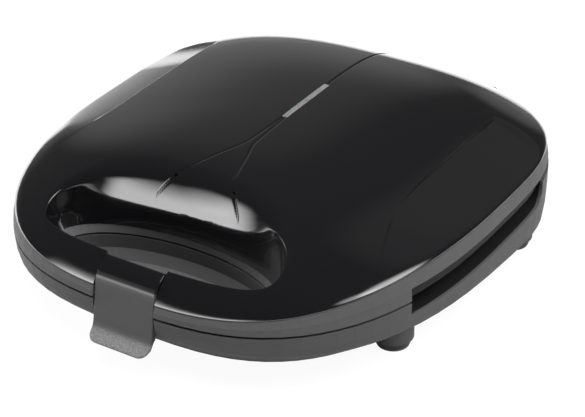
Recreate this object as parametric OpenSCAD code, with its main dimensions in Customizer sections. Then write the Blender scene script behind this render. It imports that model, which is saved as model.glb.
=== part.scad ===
// Two-slice sandwich toaster: a hinged clamshell with a front finger well and a swinging latch.
// Millimetres, +Z up. The front, with the latch, faces -Y. The origin is on the table,
// under the middle of the overall length and width.

/* [Housing] */
// Width of the housing at its widest place
body_w = 229; // [200:1:270]
// Depth of the housing from front to back, without latch and hinges
body_d = 250; // [225:1:300]
// How far behind the middle of the depth the plan is widest
widest_back = 31; // [10:1:45]
// Power of the superellipse that the plan follows: 2 is an ellipse, higher is squarer
plan_power = 2.8; // [2.4:0.1:3.6]
// Height of the parting line between base and lid above the table
parting_z = 31; // [29:1:38]
// Height of the lid's crown above the parting line
lid_h = 33; // [31:1:42]
// Wall of the plastic shells
shell_t = 2.4; // [1.8:0.1:3]
// Open gap between the rims of base and lid at the front
parting_gap = 1.2; // [0.5:0.1:1.5]

/* [Lid cover and its band] */
// Height of the grey band of the lid at the front
band_front_h = 6.3; // [5:0.1:9]
// Height of the top of the grey band above the parting line at the sides
band_side_h = 15.3; // [13:0.1:18]
// How far the band leans in towards its top
band_lean = 1.5; // [0.5:0.1:3]
// Depth of the cover's rounded lower edge
cover_lip = 1.6; // [1:0.1:2.5]
// Fullness of the cover's shoulder at the front
front_fullness = 7; // [4:0.1:9]
// Fullness of the cover's shoulder at the sides and back
side_fullness = 4.2; // [3:0.1:6]
// Distance of each flat side facet's inner edge from the centre line
facet_x = 81.5; // [70:0.5:95]
// Drop of the facet per millimetre towards the side
facet_slope = 0.38; // [0.3:0.01:0.5]
// Width of the decorative grooves
groove_w = 1.4; // [0.8:0.1:2]
// Depth of the decorative grooves
groove_depth = 0.7; // [0.4:0.1:1]

/* [Finger well] */
// Distance of the well's widest place behind the front of the housing
well_back = 31; // [28:0.5:40]
// Half width of the well at the parting line
well_half_w = 55.5; // [45:0.5:65]
// Reach of the well from its widest place to the front
well_front = 21; // [17:0.5:22]
// Reach of the well from its widest place to the back, at the parting line
well_rear = 24.5; // [20:0.5:30]
// How much wider the well's half width is at the cover
well_flare_w = 6.5; // [2:0.5:10]
// How much further back the well reaches at the cover
well_flare_rear = 11; // [5:0.5:16]
// Depth of the well's floor below the parting line
well_depth = 13; // [9:0.5:14]

/* [Side openings] */
// Start of the side opening behind the front of the housing
gap_start = 69; // [60:1:85]
// Length of the side opening
gap_len = 119; // [80:1:130]
// Height from the parting line up to the lid's side edge
lid_step = 6.3; // [4:0.1:9]
// Drop of the base's side wall below the parting line
base_step = 8; // [4:0.5:10]
// Height of the base's rear rim above the parting line
rear_rise = 3; // [1:0.1:4]
// How far the lid's dark side skirt stands in from the plan
skirt_inset = 2.8; // [2.8:0.1:5]

/* [Base underside] */
// Height of the lower edge of the base's front wall above the table
base_edge_front = 20.7; // [17:0.1:22]
// Fall of that edge per millimetre towards the back
base_edge_fall = 0.0755; // [0.05:0.0005:0.09]
// Height of the base's floor above the table
floor_z = 4.5; // [4:0.5:6]
// Inset of the floor from the plan
floor_inset = 22; // [16:1:26]
// Radius of a foot
foot_r = 8; // [6:0.5:9]
// Distance of the front feet from the centre line
foot_front_x = 93; // [80:1:96]
// Distance of the front feet behind the front of the housing
foot_front_back = 76; // [70:1:90]
// Distance of the rear feet from the centre line
foot_rear_x = 102; // [90:1:104]
// Distance of the rear feet ahead of the back of the housing
foot_rear_ahead = 70; // [60:1:80]

/* [Cooking plates] */
// Width of a plate over its rim
plate_w = 204; // [180:1:206]
// Depth of a plate over its rim
plate_d = 136; // [120:1:144]
// Radius of the plate's corners
plate_r = 28; // [20:1:40]
// Thickness of the plate's rim
rim_t = 3; // [2:0.1:4]
// Width of the flat rim that seats on the frame
rim_w = 7; // [6:0.5:9]
// Gap between the two plates when closed
plate_gap = 0.4; // [0.2:0.1:1]
// Depth of a sandwich pocket
pocket_depth = 8.6; // [6:0.1:9]
// Wall between pockets and floor under them
plate_t = 2.8; // [2.2:0.1:3.5]
// Width of the ridge that parts the two sandwiches
ridge_w = 7; // [4:0.5:12]
// Width of the diagonal ridge that cuts a sandwich in two
diagonal_w = 5; // [3:0.5:8]

/* [Latch] */
// Width of the latch clip
latch_w = 32; // [24:1:40]
// How far the clip's face stands proud of the housing
latch_proud = 1.4; // [1:0.1:2.5]
// Thickness of the clip's face
latch_t = 2.4; // [2:0.1:3]
// Reach of the thumb lip in front of the clip's face
lip_reach = 6.1; // [4:0.1:9]
// Height of the latch pivot above the parting line
latch_pivot_h = 9.8; // [9:0.1:12]
// Radius of the clip's head round its pivot
latch_head = 5; // [4.5:0.1:5.2]
// Radius of the latch pin
latch_pin_r = 1.5; // [1:0.1:2]

/* [Hinges] */
// Distance of each hinge from the centre line
hinge_x = 46; // [38:1:60]
// Width of the lid's hinge lug
lug_w = 10; // [8:0.5:14]
// Thickness of each base ear
ear_t = 4; // [3:0.5:6]
// Radius of the ears and lugs round the hinge pin
ear_r = 5; // [4.5:0.1:6]
// Radius of the hinge pins
hinge_pin_r = 2; // [1.5:0.1:2.5]
// How far the ears reach behind the housing
hinge_proud = 3.5; // [3:0.1:6]
// Height of the hinge axis above the parting line
hinge_h = 7; // [6.5:0.1:8]

/* [Fits] */
// Radial clearance of a turning pin
running_fit = 0.06; // [0.03:0.01:0.1]
// Radial clearance of a held pin
held_fit = 0.02; // [0.01:0.01:0.05]
// Gap left round moving plastic
moving_gap = 0.5; // [0.3:0.1:1]
// Gap between pieces that seat on each other
seat_gap = 0.2; // [0.1:0.05:0.4]

/* [Smoothness] */
// Points round the plan of the housing
plan_steps = 80; // [48:4:120]
// Sides of round pieces
$fn = 48; // [24:8:96]

/* [Hidden] */

far = 400;
overall_d = body_d + latch_proud + lip_reach + hinge_proud;
front_y = -overall_d / 2 + latch_proud + lip_reach;
rear_y = overall_d / 2 - hinge_proud;
widest_y = (front_y + rear_y) / 2 + widest_back;
crown_z = parting_z + lid_h;
base_rim_z = parting_z - parting_gap;
ledge_z = parting_z - base_step;
lid_side_z = parting_z + lid_step;
rear_rim_z = parting_z + rear_rise;
rear_rim_t = skirt_inset - 0.6;
gap_front_y = front_y + gap_start;
gap_rear_y = gap_front_y + gap_len;
gap_curve = 8;
corner_x = 86;
hinge_y = rear_y + hinge_proud - ear_r;
hinge_z = parting_z + hinge_h;
ear_gap = 0.3;
ear_x = lug_w / 2 + ear_gap + ear_t / 2;
lug_drop = hinge_z - rear_rim_z - 0.6;

// the finger well
well_y = front_y + well_back;
well_floor_z = parting_z - well_depth;
well_front_top = well_front - 3;
well_wall_top = parting_z + 4;
well_steps = 56;

// plates, one the mirror of the other about the plane where they meet
meet_z = parting_z - parting_gap / 2;
plate_y = widest_y - 4;
tray_w = plate_w - 2 * rim_w;
tray_d = plate_d - 2 * rim_w;
tray_r = plate_r - rim_w;
tray_h = pocket_depth + plate_t;
tray_back = plate_gap / 2 + tray_h;
seat_play = 0.5;
seat_wall = 2.4;
seat_level = plate_gap / 2 + rim_t + seat_gap;
seat_t = 2.8;
heater_r = 3.2;
heater_level = tray_back + seat_gap + heater_r;
heater_x = 62;
heater_bend = 22;
reflector_level = heater_level + heater_r + 1.6;
reflector_t = 0.6;
earth_y = plate_d / 2 - 28;
screw_r = 1.5;
head_r = 2.9;
head_h = 1.5;
plate_screw_x = plate_w / 2 - rim_w / 2;
plate_screw_y = plate_d / 2 - plate_r;
plate_screw_len = 9.5;

// the deck of the lid's frame, and the screws that hold the cover to it
deck_z = meet_z + seat_level;
cover_screw_spots = [for (s = [-1, 1]) each [[s * 84, well_y + 20], [s * 72, rear_edge(72) - 12]]];

// the latch, drawn in a plane across the front of the housing
latch_z = parting_z + latch_pivot_h;
latch_y = front_y + latch_head + 2.6;
latch_room = latch_w / 2 + moving_gap;
catch_y = front_y + 3.4;
catch_z = parting_z - 9;

// the pilot lamps under the crown
lens_y = widest_y - 3.2;
lens_l = 19.6;
lens_w = 3;
carrier_top = crown_z - shell_t - seat_gap;

// the cord's way in
gland_z = 19;
gland_r = 5.5;

// ---------- plan and heights of the housing ----------

function spow(v, p) = sign(v) * pow(abs(v), p);
function mix(a, b, t) = a + (b - a) * t;
function limit(v) = min(1, max(0, v));
function unit(v) = v / norm(v);
// 0 at the front of the housing, rising smoothly to 1 along its sides
function sideways(y) = let (t = limit((y - front_y) / (0.4 * body_d))) 1 - pow(1 - t, 2);
// height of the cover's edge over the plan's outline
function cover_edge(y) = parting_z + mix(band_front_h, band_side_h, sideways(y));
function fullness(y) = mix(front_fullness, side_fullness, sideways(y));
function base_edge(y) = max(floor_z + 1, base_edge_front - base_edge_fall * (y - front_y));
function rear_edge(x) =
    widest_y + (rear_y - widest_y) * pow(1 - pow(2 * abs(x) / body_w, plan_power), 1 / plan_power);

// a point of the plan at angle a, moved in by the inset
function plan_point(a, inset) =
    let (w = body_w / 2, b = sin(a) < 0 ? widest_y - front_y : rear_y - widest_y,
        nx = spow(cos(a), 2 - 2 / plan_power) / w,
        ny = spow(sin(a), 2 - 2 / plan_power) / b,
        n = norm([nx, ny]))
    [w * spow(cos(a), 2 / plan_power) - inset * nx / n,
        widest_y + b * spow(sin(a), 2 / plan_power) - inset * ny / n];
function plan(inset) = [for (i = [0:plan_steps - 1]) plan_point(360 * i / plan_steps, inset)];
function flat_ring(inset, z) = [for (p = plan(inset)) [p.x, p.y, z]];

// rings of the domed cover: r is 1 at its edge and 0 at its crown
function dome_ring(r, inset, drop) = [for (p = plan(inset))
    [r * p.x, mix(widest_y, p.y, r),
        mix(cover_edge(p.y), crown_z, 1 - pow(r, fullness(p.y))) - drop]];
function edge_ring(inset, drop) = [for (p = plan(inset)) [p.x, p.y, cover_edge(p.y) - drop]];
function band_ring(t) = [for (p = plan(band_lean * t * t))
    [p.x, p.y, mix(parting_z, cover_edge(p.y) - cover_lip, t)]];
function base_ring(inset, t, up, lift = 0) = [for (p = plan(inset))
    [p.x, p.y, mix(mix(floor_z, base_edge(p.y), t), rear_rim_z, up) + lift]];

// height of the cover's outside over a place inside the plan
function dome_share(x, y) =
    let (w = body_w / 2 - band_lean,
        b = (y < widest_y ? widest_y - front_y : rear_y - widest_y) - band_lean)
    pow(pow(abs(x) / w, plan_power) + pow(abs(y - widest_y) / b, plan_power), 1 / plan_power);
function dome_z(x, y) =
    let (r = max(0.001, dome_share(x, y)), edge_y = mix(widest_y, y, 1 / r))
    mix(cover_edge(edge_y), crown_z, 1 - pow(min(r, 1), fullness(edge_y)));
function dome_point(x, y) =
    [[x, y, dome_z(x, y)],
        unit([dome_z(x - 1, y) - dome_z(x + 1, y), dome_z(x, y - 1) - dome_z(x, y + 1), 2])];

// half sizes of the finger well at height z: to the side, to the front and to the back
function well_side(z) = z < parting_z
    ? mix(well_half_w - 3, well_half_w, limit((z - well_floor_z) / 5))
    : well_half_w + well_flare_w * sin(90 * limit((z - parting_z) / 16));
function well_ahead(z) = z < parting_z
    ? mix(well_front - 3, well_front, limit((z - well_floor_z) / 5))
    : mix(well_front, well_front_top, limit((z - parting_z) / 12));
function well_behind(z) = z < parting_z
    ? mix(well_rear - 3, well_rear, limit((z - well_floor_z) / 5))
    : well_rear + well_flare_rear * pow(limit((z - parting_z) / 30), 2);
function well_ring(z, wall = 0, drop = 0) = [for (i = [0:well_steps - 1])
    let (a = 360 * i / well_steps, p = sin(a) < 0 ? 2.5 : 2,
        reach = sin(a) < 0 ? well_ahead(z) : well_behind(z))
    [(well_side(z) + wall) * spow(cos(a), 2 / p),
        well_y + (reach + wall) * spow(sin(a), 2 / p), z - drop]];
function scoop_point(x, z) =
    [[x, well_y + well_behind(z) * sqrt(1 - pow(x / well_side(z), 2)), z],
        unit([-x / 100, -1, 22 * (z - parting_z) / 900])];

// ---------- shared shapes ----------

// a closed solid over rings of points, each ring counter-clockwise seen from the last one
module loft(rings) {
    n = len(rings[0]);
    k = len(rings);
    middles = [for (ring = [rings[0], rings[k - 1]])
        [for (j = [0:2]) [for (p = ring) p[j]] * [for (p = ring) 1] / n]];
    points = [for (ring = rings) each ring, each middles];
    faces = [
        for (j = [0:k - 2], i = [0:n - 1]) [j * n + i, (j + 1) * n + i, (j + 1) * n + (i + 1) % n],
        for (j = [0:k - 2], i = [0:n - 1]) [j * n + i, (j + 1) * n + (i + 1) % n, j * n + (i + 1) % n],
        for (i = [0:n - 1]) [k * n, i, (i + 1) % n],
        for (i = [0:n - 1]) [k * n + 1, (k - 1) * n + (i + 1) % n, (k - 1) * n + i]];
    polyhedron(points, faces);
}

// a groove of triangular section along [point, outward direction] pairs
module groove(path) {
    k = len(path);
    loft([for (i = [0:k - 1])
        let (here = path[i][0], out = path[i][1],
            along = unit(path[min(i + 1, k - 1)][0] - path[max(i - 1, 0)][0]),
            across = unit(cross(out, along)) * groove_w / 2)
        [here + across + 0.5 * out, here - across + 0.5 * out, here - groove_depth * out]]);
}

module prism(inset, z0, z1) {
    translate([0, 0, z0]) linear_extrude(z1 - z0) polygon(plan(inset));
}

// a block given by its least and greatest corner
module block(a, b) {
    translate(a) cube(b - a);
}

// a profile in the Y-Z plane, extruded along X about x = 0
module across(width) {
    rotate([90, 0, 90]) linear_extrude(width, center = true) children();
}

module rounded_plan(w, d, r) {
    square([w - 2 * r, d], center = true);
    square([w, d - 2 * r], center = true);
    for (x = [-1, 1], y = [-1, 1])
        translate([x * (w / 2 - r), y * (d / 2 - r)]) circle(r);
}

// a plate outline grown by g, between two levels measured away from where the plates meet
module plate_outline(w, d, r, g, l0, l1) {
    translate([0, 0, l0]) linear_extrude(l1 - l0) rounded_plan(w + 2 * g, d + 2 * g, r + g);
}

// children are drawn with z as the distance from the meeting plane, into the lid or the base
module lid_side() {
    translate([0, plate_y, meet_z]) children();
}

module base_side() {
    translate([0, plate_y, meet_z]) mirror([0, 0, 1]) children();
}

module both_sides() {
    children();
    mirror([1, 0, 0]) children();
}

// a row of points with its corners rounded off
function bend(points) =
    let (k = len(points))
    [points[0], for (i = [1:k - 2]) let (a = mix(points[i], points[i - 1], 0.35),
            b = mix(points[i], points[i + 1], 0.35))
        for (t = [0:0.25:1]) mix(mix(a, points[i], t), mix(points[i], b, t), t), points[k - 1]];

// an insulated lead of round section through a row of points
module lead(points, r) {
    path = bend(points);
    k = len(path);
    loft([for (i = [0:k - 1])
        let (along = unit(path[min(i + 1, k - 1)] - path[max(i - 1, 0)]),
            side = unit(cross(along, [0.1, 0.2, 1])), up = cross(side, along))
        [for (a = [0:36:324]) path[i] + r * cos(a) * side + r * sin(a) * up]]);
}

module along_x_pin(x, y, z, r, length) {
    translate([x - length / 2, y, z]) rotate([0, 90, 0]) cylinder(h = length, r = r);
}

// ---------- finger well ----------

module well_space(wall, top) {
    heights = [well_floor_z - wall, well_floor_z + 1, well_floor_z + 2.5, well_floor_z + 5,
        parting_z, parting_z + 5, parting_z + 10, parting_z + 15, parting_z + 20,
        parting_z + 25, parting_z + 30];
    loft([for (z = heights) if (z < top) well_ring(z, wall), [for (p = well_ring(top, wall)) p]]);
}

// ---------- base ----------

module base_outside() {
    loft([base_ring(floor_inset, 0, 0), base_ring(floor_inset * 0.55, 0.35, 0),
        base_ring(2.4, 0.93, 0), base_ring(1.3, 1, 0.04), base_ring(0.4, 1, 0.3),
        base_ring(0, 1, 0.7), base_ring(0, 1, 1)]);
}

module base_inside() {
    loft([base_ring(floor_inset + 2, 0, 0, shell_t), base_ring(floor_inset * 0.55 + 2, 0.35, 0, shell_t),
        base_ring(3 + shell_t, 1, 0, shell_t - 0.5), base_ring(shell_t + 0.4, 1, 0.3),
        base_ring(shell_t, 1, 1, 4)]);
}

module side_opening() {
    difference() {
        across(far) polygon([[gap_front_y, rear_rim_z + 9], [gap_front_y, ledge_z + 0.8],
            [gap_front_y + 0.8, ledge_z], [gap_rear_y - gap_curve, ledge_z],
            for (a = [-75:15:0]) [gap_rear_y - gap_curve + gap_curve * cos(a),
                ledge_z + gap_curve * (1 + sin(a))],
            [gap_rear_y, rear_rim_z + 9]]);
        base_side() plate_outline(plate_w, plate_d, plate_r, seat_play + seat_wall, -far, far);
        block([-corner_x, -far, -1], [corner_x, far, far]);
    }
}

// everything that stands above the base's rim
module base_headroom() {
    prism(rear_rim_t, base_rim_z, rear_rim_z + 9);
    block([-far, -far, base_rim_z], [far, gap_front_y, rear_rim_z + 9]);
    side_opening();
}

// parts of the hollow that stay solid
module base_solids() {
    block([-far, -far, base_rim_z - shell_t], [far, far, far]);
    for (s = [-1, 1])
        intersection() {
            block([-far, gap_front_y - shell_t, ledge_z - shell_t], [far, gap_rear_y + shell_t, far]);
            translate([s * far, 0, 0])
                cube([2 * far - plate_w - 2 * seat_play, 2 * far, 2 * far], center = true);
        }
    both_sides() block([corner_x - shell_t, gap_front_y - shell_t, ledge_z - shell_t],
        [far, plate_y - plate_d / 2 + plate_r, far]);
    base_side() plate_outline(plate_w, plate_d, plate_r, seat_play + seat_wall, 0, seat_level + seat_t);
    for (x = [-1, 1], y = [-1, 1])
        translate([x * plate_screw_x, plate_y + y * plate_screw_y, meet_z - plate_screw_len - 1])
            cylinder(h = far, r = screw_r + 2.2);
    well_space(shell_t, rear_rim_z);
    foot_spots() translate([0, 0, floor_z]) cylinder(h = 9, r = foot_r + 1.5);
    block([-latch_room - shell_t, -far, 0], [latch_room + shell_t, catch_y + shell_t, far]);
    block([-15, rear_y - 26, 0], [15, rear_y - 12, floor_z + shell_t + 0.8]);
}

module foot_spots() {
    both_sides() {
        translate([foot_front_x, front_y + foot_front_back, 0]) children();
        translate([foot_rear_x, rear_y - foot_rear_ahead, 0]) children();
    }
}

module hinge_ears() {
    for (s = [-1, 1], e = [-1, 1])
        translate([s * hinge_x + e * ear_x, 0, 0])
            across(ear_t) {
                wall_y = rear_edge(hinge_x + s * e * ear_x) - 1;
                translate([hinge_y, hinge_z]) circle(ear_r);
                polygon([[wall_y, rear_rim_z - 1], [wall_y, 19], [hinge_y + ear_r - 1, hinge_z - 12],
                    [hinge_y + ear_r, hinge_z - 9], [hinge_y + ear_r, hinge_z],
                    [hinge_y - ear_r * 0.8, hinge_z - ear_r * 0.6]]);
            }
}

module base_shell() {
    color([0.30, 0.30, 0.31])
    difference() {
        union() {
            difference() {
                base_outside();
                base_headroom();
                difference() {
                    base_inside();
                    base_solids();
                }
            }
            foot_spots() translate([0, 0, floor_z]) cylinder(h = 8, r = foot_r + 1.5);
            hinge_ears();
        }
        well_space(0, rear_rim_z + 9);
        base_side() {
            plate_outline(plate_w, plate_d, plate_r, seat_play, -far, seat_level);
            plate_outline(tray_w, tray_d, tray_r, seat_play, 0, 16);
        }
        for (x = [-1, 1], y = [-1, 1])
            translate([x * plate_screw_x, plate_y + y * plate_screw_y, meet_z - plate_screw_len - 0.2])
                cylinder(h = far, r = screw_r + held_fit);
        block([-latch_room, -far, 0], [latch_room, catch_y, far]);
        for (s = [-1, 1]) {
            along_x_pin(s * hinge_x, hinge_y, hinge_z, hinge_pin_r + held_fit, far / 10);
            along_x_pin(s * hinge_x, hinge_y, hinge_z, ear_r + moving_gap, lug_w + 2 * ear_gap);
        }
        foot_spots() translate([0, 0, -1]) cylinder(h = 13, r = screw_r + held_fit);
        translate([0, rear_y - 12, gland_z]) rotate([-90, 0, 0]) cylinder(h = 30, r = gland_r + held_fit);
    }
    color([0.30, 0.30, 0.31])
    along_x_pin(0, catch_y, catch_z, 1, 20);
}

module rubber_feet() {
    color([0.08, 0.08, 0.08])
    foot_spots() rotate_extrude() polygon([[screw_r + 0.4, 3.2], [head_r + 0.4, 2], [head_r + 0.4, 0.5],
        [head_r + 1, 0], [foot_r - 1.4, 0], [foot_r - 0.4, 0.4], [foot_r, 1.4], [foot_r - 0.3, floor_z - 0.1],
        [screw_r + 0.4, floor_z - 0.1]]);
}

module foot_screws() {
    color([0.70, 0.70, 0.72])
    foot_spots() rotate_extrude() polygon([[0, 1], [head_r, 1], [head_r, 1.8], [screw_r, 3], [screw_r, 11.5],
        [0, 11.5]]);
}

module hinge_pins() {
    color([0.72, 0.72, 0.74])
    for (s = [-1, 1])
        along_x_pin(s * hinge_x, hinge_y, hinge_z, hinge_pin_r, lug_w + 2 * ear_gap + 2 * ear_t - 0.2);
}

module cord_gland() {
    color([0.07, 0.07, 0.07])
    translate([0, rear_y, gland_z]) rotate([-90, 0, 0]) rotate_extrude() difference() {
        polygon([[0, -6.6], [gland_r + 2, -6.8], [gland_r + 2, -4.9], [gland_r, -4.7], [gland_r, 0.1],
            [gland_r + 2.4, 0.2], [gland_r + 1.6, 2], [0, 2]]);
        translate([0, -8]) square([3.6, 11]);
    }
}

// ---------- cooking plates ----------

// a triangle with rounded corners, drawn in by the draft
function triangle_ring(t, draft, r, z) =
    let (e = [for (i = [0:2]) norm(t[(i + 1) % 3] - t[(i + 2) % 3])],
        c = (e[0] * t[0] + e[1] * t[1] + e[2] * t[2]) / (e[0] + e[1] + e[2]),
        turn = cross(t[1] - t[0], t[2] - t[0]),
        inner = abs(turn) / (e[0] + e[1] + e[2]),
        k = 1 - (draft + r) / inner,
        o = turn > 0 ? [0, 1, 2] : [2, 1, 0])
    [for (i = [0:2]) let (v = t[o[i]], before = v - t[o[(i + 2) % 3]], after = t[o[(i + 1) % 3]] - v,
            a0 = atan2(-before.x, before.y), a1 = atan2(-after.x, after.y), da = (a1 - a0 + 360) % 360)
        for (j = [0:5]) let (a = a0 + da * j / 5)
            concat(c + k * (v - c) + r * [cos(a), sin(a)], [z])];

module pocket(t) {
    top = plate_gap / 2;
    loft([triangle_ring(t, -0.4, 7, top - 1), triangle_ring(t, 0, 7, top), triangle_ring(t, 0.8, 7, top + 1),
        triangle_ring(t, 2.6, 6, top + pocket_depth - 0.6), triangle_ring(t, 4, 5, top + pocket_depth)]);
}

// the sandwich cell on the +X side, split by its diagonal
module cell() {
    x0 = ridge_w / 2;
    x1 = tray_w / 2 - plate_t;
    y0 = -tray_d / 2 + plate_t;
    y1 = -y0;
    shift = diagonal_w / 2 / norm([x1 - x0, y1 - y0]) * [y1 - y0, x1 - x0];
    pocket([[x0, y0 + 2 * shift.y], [x1 - 2 * shift.x, y1], [x0, y1]]);
    pocket([[x0 + 2 * shift.x, y0], [x1, y1 - 2 * shift.y], [x1, y0]]);
}

module plate() {
    color([0.16, 0.16, 0.17])
    difference() {
        union() {
            plate_outline(plate_w, plate_d, plate_r, 0, plate_gap / 2, plate_gap / 2 + rim_t);
            plate_outline(tray_w, tray_d, tray_r, 0, plate_gap / 2, tray_back);
        }
        both_sides() cell();
        for (x = [-1, 1], y = [-1, 1]) translate([x * plate_screw_x, y * plate_screw_y, 0]) {
            cylinder(h = 9, r = screw_r + 0.2);
            cylinder(h = plate_gap / 2 + head_h + 0.3, r = head_r + 0.2);
        }
    }
}

module plate_screws() {
    color([0.72, 0.72, 0.74])
    for (x = [-1, 1], y = [-1, 1]) translate([x * plate_screw_x, y * plate_screw_y, plate_gap / 2 + 0.25])
        rotate_extrude() polygon([[0, 0.3], [0.9, 0.3], [0.9, 0], [head_r - 0.4, 0], [head_r, 0.4],
            [head_r, head_h], [screw_r, head_h], [screw_r, plate_screw_len - 0.6], [0, plate_screw_len - 0.6]]);
}

module heater() {
    reach = plate_d / 2 + 4;
    turn_y = -tray_d / 2 + 10 + heater_bend;
    color([0.62, 0.62, 0.62])
    translate([0, 0, heater_level]) {
        both_sides() {
            translate([heater_x, turn_y, 0]) rotate([-90, 0, 0]) cylinder(h = reach - turn_y, r = heater_r);
            translate([heater_x, reach, 0]) rotate([-90, 0, 0]) cylinder(h = 5, r = 1.4);
            translate([heater_x - heater_bend, turn_y, 0]) rotate([0, 0, -90])
                rotate_extrude(angle = 90) translate([heater_bend, 0]) circle(heater_r);
        }
        along_x_pin(0, turn_y - heater_bend, 0, heater_r, 2 * (heater_x - heater_bend));
    }
}

module heater_clamps() {
    color([0.66, 0.66, 0.67])
    both_sides() for (y = [-20, 40]) translate([heater_x, y, 0]) {
        translate([-12, -6, heater_level + heater_r + 0.1]) cube([24, 12, 0.9]);
        for (x = [-8.5, 8.5]) translate([x, 0, tray_back + 0.1])
            cylinder(h = heater_level + heater_r + 0.5 - tray_back, r = 2.2);
    }
}

module reflector() {
    w = tray_w - 20;
    d = tray_d - 24;
    color([0.78, 0.78, 0.78]) {
        plate_outline(w, d, 14, 0, reflector_level, reflector_level + reflector_t);
        for (x = [-1, 1], y = [-1, 1])
            translate([x * (w / 2 - 0.4) - 0.4, y * 24 - 6, tray_back + 0.1])
                cube([0.8, 12, reflector_level + 0.3 - tray_back]);
    }
}

module lower_plate() {
    base_side() plate();
}

module upper_plate() {
    lid_side() plate();
}

module lower_plate_screws() {
    base_side() plate_screws();
}

module upper_plate_screws() {
    lid_side() plate_screws();
}

module lower_heater() {
    base_side() heater();
}

module upper_heater() {
    lid_side() heater();
}

module lower_heater_clamps() {
    base_side() heater_clamps();
}

module upper_heater_clamps() {
    lid_side() heater_clamps();
}

module lower_reflector() {
    base_side() reflector();
}

module upper_reflector() {
    lid_side() reflector();
}

// ---------- electric parts of the base ----------

module thermostat() {
    color([0.85, 0.83, 0.78])
    base_side() translate([0, 16, tray_back + 0.1]) {
        cylinder(h = 1, r = 9.5);
        cylinder(h = 5.4, r = 7.5);
        for (x = [-1, 1]) translate([x * 4 - 1.6, 4, 3.6]) cube([3.2, 8.5, 0.8]);
    }
}

module terminal_block() {
    y = rear_y - 25;
    z = floor_z + shell_t + 1;
    color([0.86, 0.85, 0.80])
    difference() {
        block([-14, y, z], [14, y + 11, z + 9]);
        for (x = [-9, 0, 9]) {
            translate([x, y + 5.5, z + 4.5]) cylinder(h = 10, r = 2.3);
            translate([x, y - 1, z + 3.2]) rotate([-90, 0, 0]) cylinder(h = 13, r = 1.5);
        }
    }
}

module thermal_fuse() {
    color([0.80, 0.76, 0.62])
    translate([-14.2, rear_y - 19.5, floor_z + shell_t + 5]) rotate([0, -90, 0]) {
        cylinder(h = 17, r = 0.5);
        translate([0, 0, 3]) cylinder(h = 11, r = 2.1);
    }
}

module earth_tag() {
    color([0.75, 0.72, 0.55])
    base_side() translate([26, earth_y, tray_back + 0.1]) difference() {
        union() {
            cylinder(h = 0.8, r = 4);
            translate([-2, 0, 0]) cube([4, 12, 0.8]);
            cylinder(h = 2.8, r = 2.4);
        }
        translate([0, 9, -1]) cylinder(h = 3, r = 0.8);
    }
}

module base_wiring() {
    y = rear_y - 25.2;
    z = floor_z + shell_t + 4.2;
    pin_y = plate_y + plate_d / 2 + 9.8;
    pin_z = meet_z - heater_level;
    tab_z = meet_z - tray_back - 4.1;
    color([0.75, 0.30, 0.12]) {
        lead([[0, y, z], [0, y - 4, z], [-4, plate_y + 40, tab_z], [-4, plate_y + 28.7, tab_z]], 1.1);
        lead([[4, plate_y + 28.7, tab_z], [4, plate_y + 33, tab_z - 0.6], [40, plate_y + 36, tab_z - 1.6],
            [46, pin_y - 4, pin_z - 1], [heater_x - 6, pin_y + 4, pin_z],
            [heater_x, pin_y + 4, pin_z], [heater_x, pin_y + 0.8, pin_z]], 1.1);
        lead([[-31.4, rear_y - 19.5, floor_z + shell_t + 5], [-50, pin_y + 5, pin_z],
            [-heater_x, pin_y + 4, pin_z], [-heater_x, pin_y + 0.8, pin_z]], 1.1);
        lead([[9, y, z], [9, y - 4, z], [26, plate_y + earth_y + 20, tab_z + 1],
            [26, plate_y + earth_y + 12.2, meet_z - tray_back - 1.3]], 1.1);
    }
}

// ---------- lid ----------

// the room above a flat side facet; sink lowers it for the inside of the cover
module facet_space(sink) {
    both_sides() intersection() {
        translate([0, 0, parting_z]) linear_extrude(60) polygon([[facet_x, rear_y - 52],
            [facet_x, widest_y - 40], [facet_x + 2.5, front_y + 91], [facet_x + 8.5, front_y + 70],
            [facet_x + 15, front_y + 52], [far, front_y + 52], [far, rear_y - 67]]);
        translate([facet_x, 0, dome_z(facet_x, widest_y) - 1.2 - sink])
            rotate([0, atan(facet_slope), 0]) translate([-far, -far, 0]) cube(2 * far);
    }
}

module cover_outside() {
    loft([edge_ring(band_lean + 0.9, cover_lip - 0.5), edge_ring(band_lean + 0.2, 0.5),
        for (r = [1, 0.992, 0.98, 0.96, 0.93, 0.89, 0.83, 0.74, 0.6, 0.4, 0.18]) dome_ring(r, band_lean, 0)]);
}

module cover_inside() {
    difference() {
        loft([edge_ring(band_lean + shell_t, cover_lip + 2),
            for (r = [1, 0.975, 0.94, 0.89, 0.82, 0.7, 0.5, 0.2]) dome_ring(r, band_lean + shell_t, shell_t)]);
        facet_space(shell_t);
    }
}

module cover_bosses() {
    for (p = cover_screw_spots) translate([p.x, p.y, deck_z + shell_t + seat_gap])
        cylinder(h = 40, r = screw_r + 2);
    for (s = [-1, 1]) translate([0, lens_y + s * (lens_l + 2.6), carrier_top - 3.4])
        cylinder(h = 5, r = 1.5);
    both_sides() block([latch_room - 1, front_y, cover_edge(front_y) - cover_lip + 0.3],
        [latch_room + 5.5, well_y - 16, far]);
}

module cover_grooves() {
    both_sides() groove([dome_point(0.6, front_y + 133), dome_point(1.3, front_y + 117),
        dome_point(2, front_y + 102), dome_point(4, front_y + 97), dome_point(7.5, front_y + 86),
        dome_point(10.5, front_y + 76), dome_point(12, front_y + 71), dome_point(14, front_y + 68),
        for (z = [58:-4:50]) scoop_point(mix(22.5, 16, limit((z - 50) / 9)), z)]);
    groove([for (y = [lens_y + lens_l + 1:4.5:rear_y - 5]) dome_point(0, y),
        [[0, rear_y - band_lean - 1.2, cover_edge(rear_y) + 3], unit([0, 1, 2])],
        [[0, rear_y - band_lean, cover_edge(rear_y) - 3], [0, 1, 0]]]);
}

module latch_notch(z) {
    block([-latch_room, -far, z], [latch_room, well_y - 12, far]);
}

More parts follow.
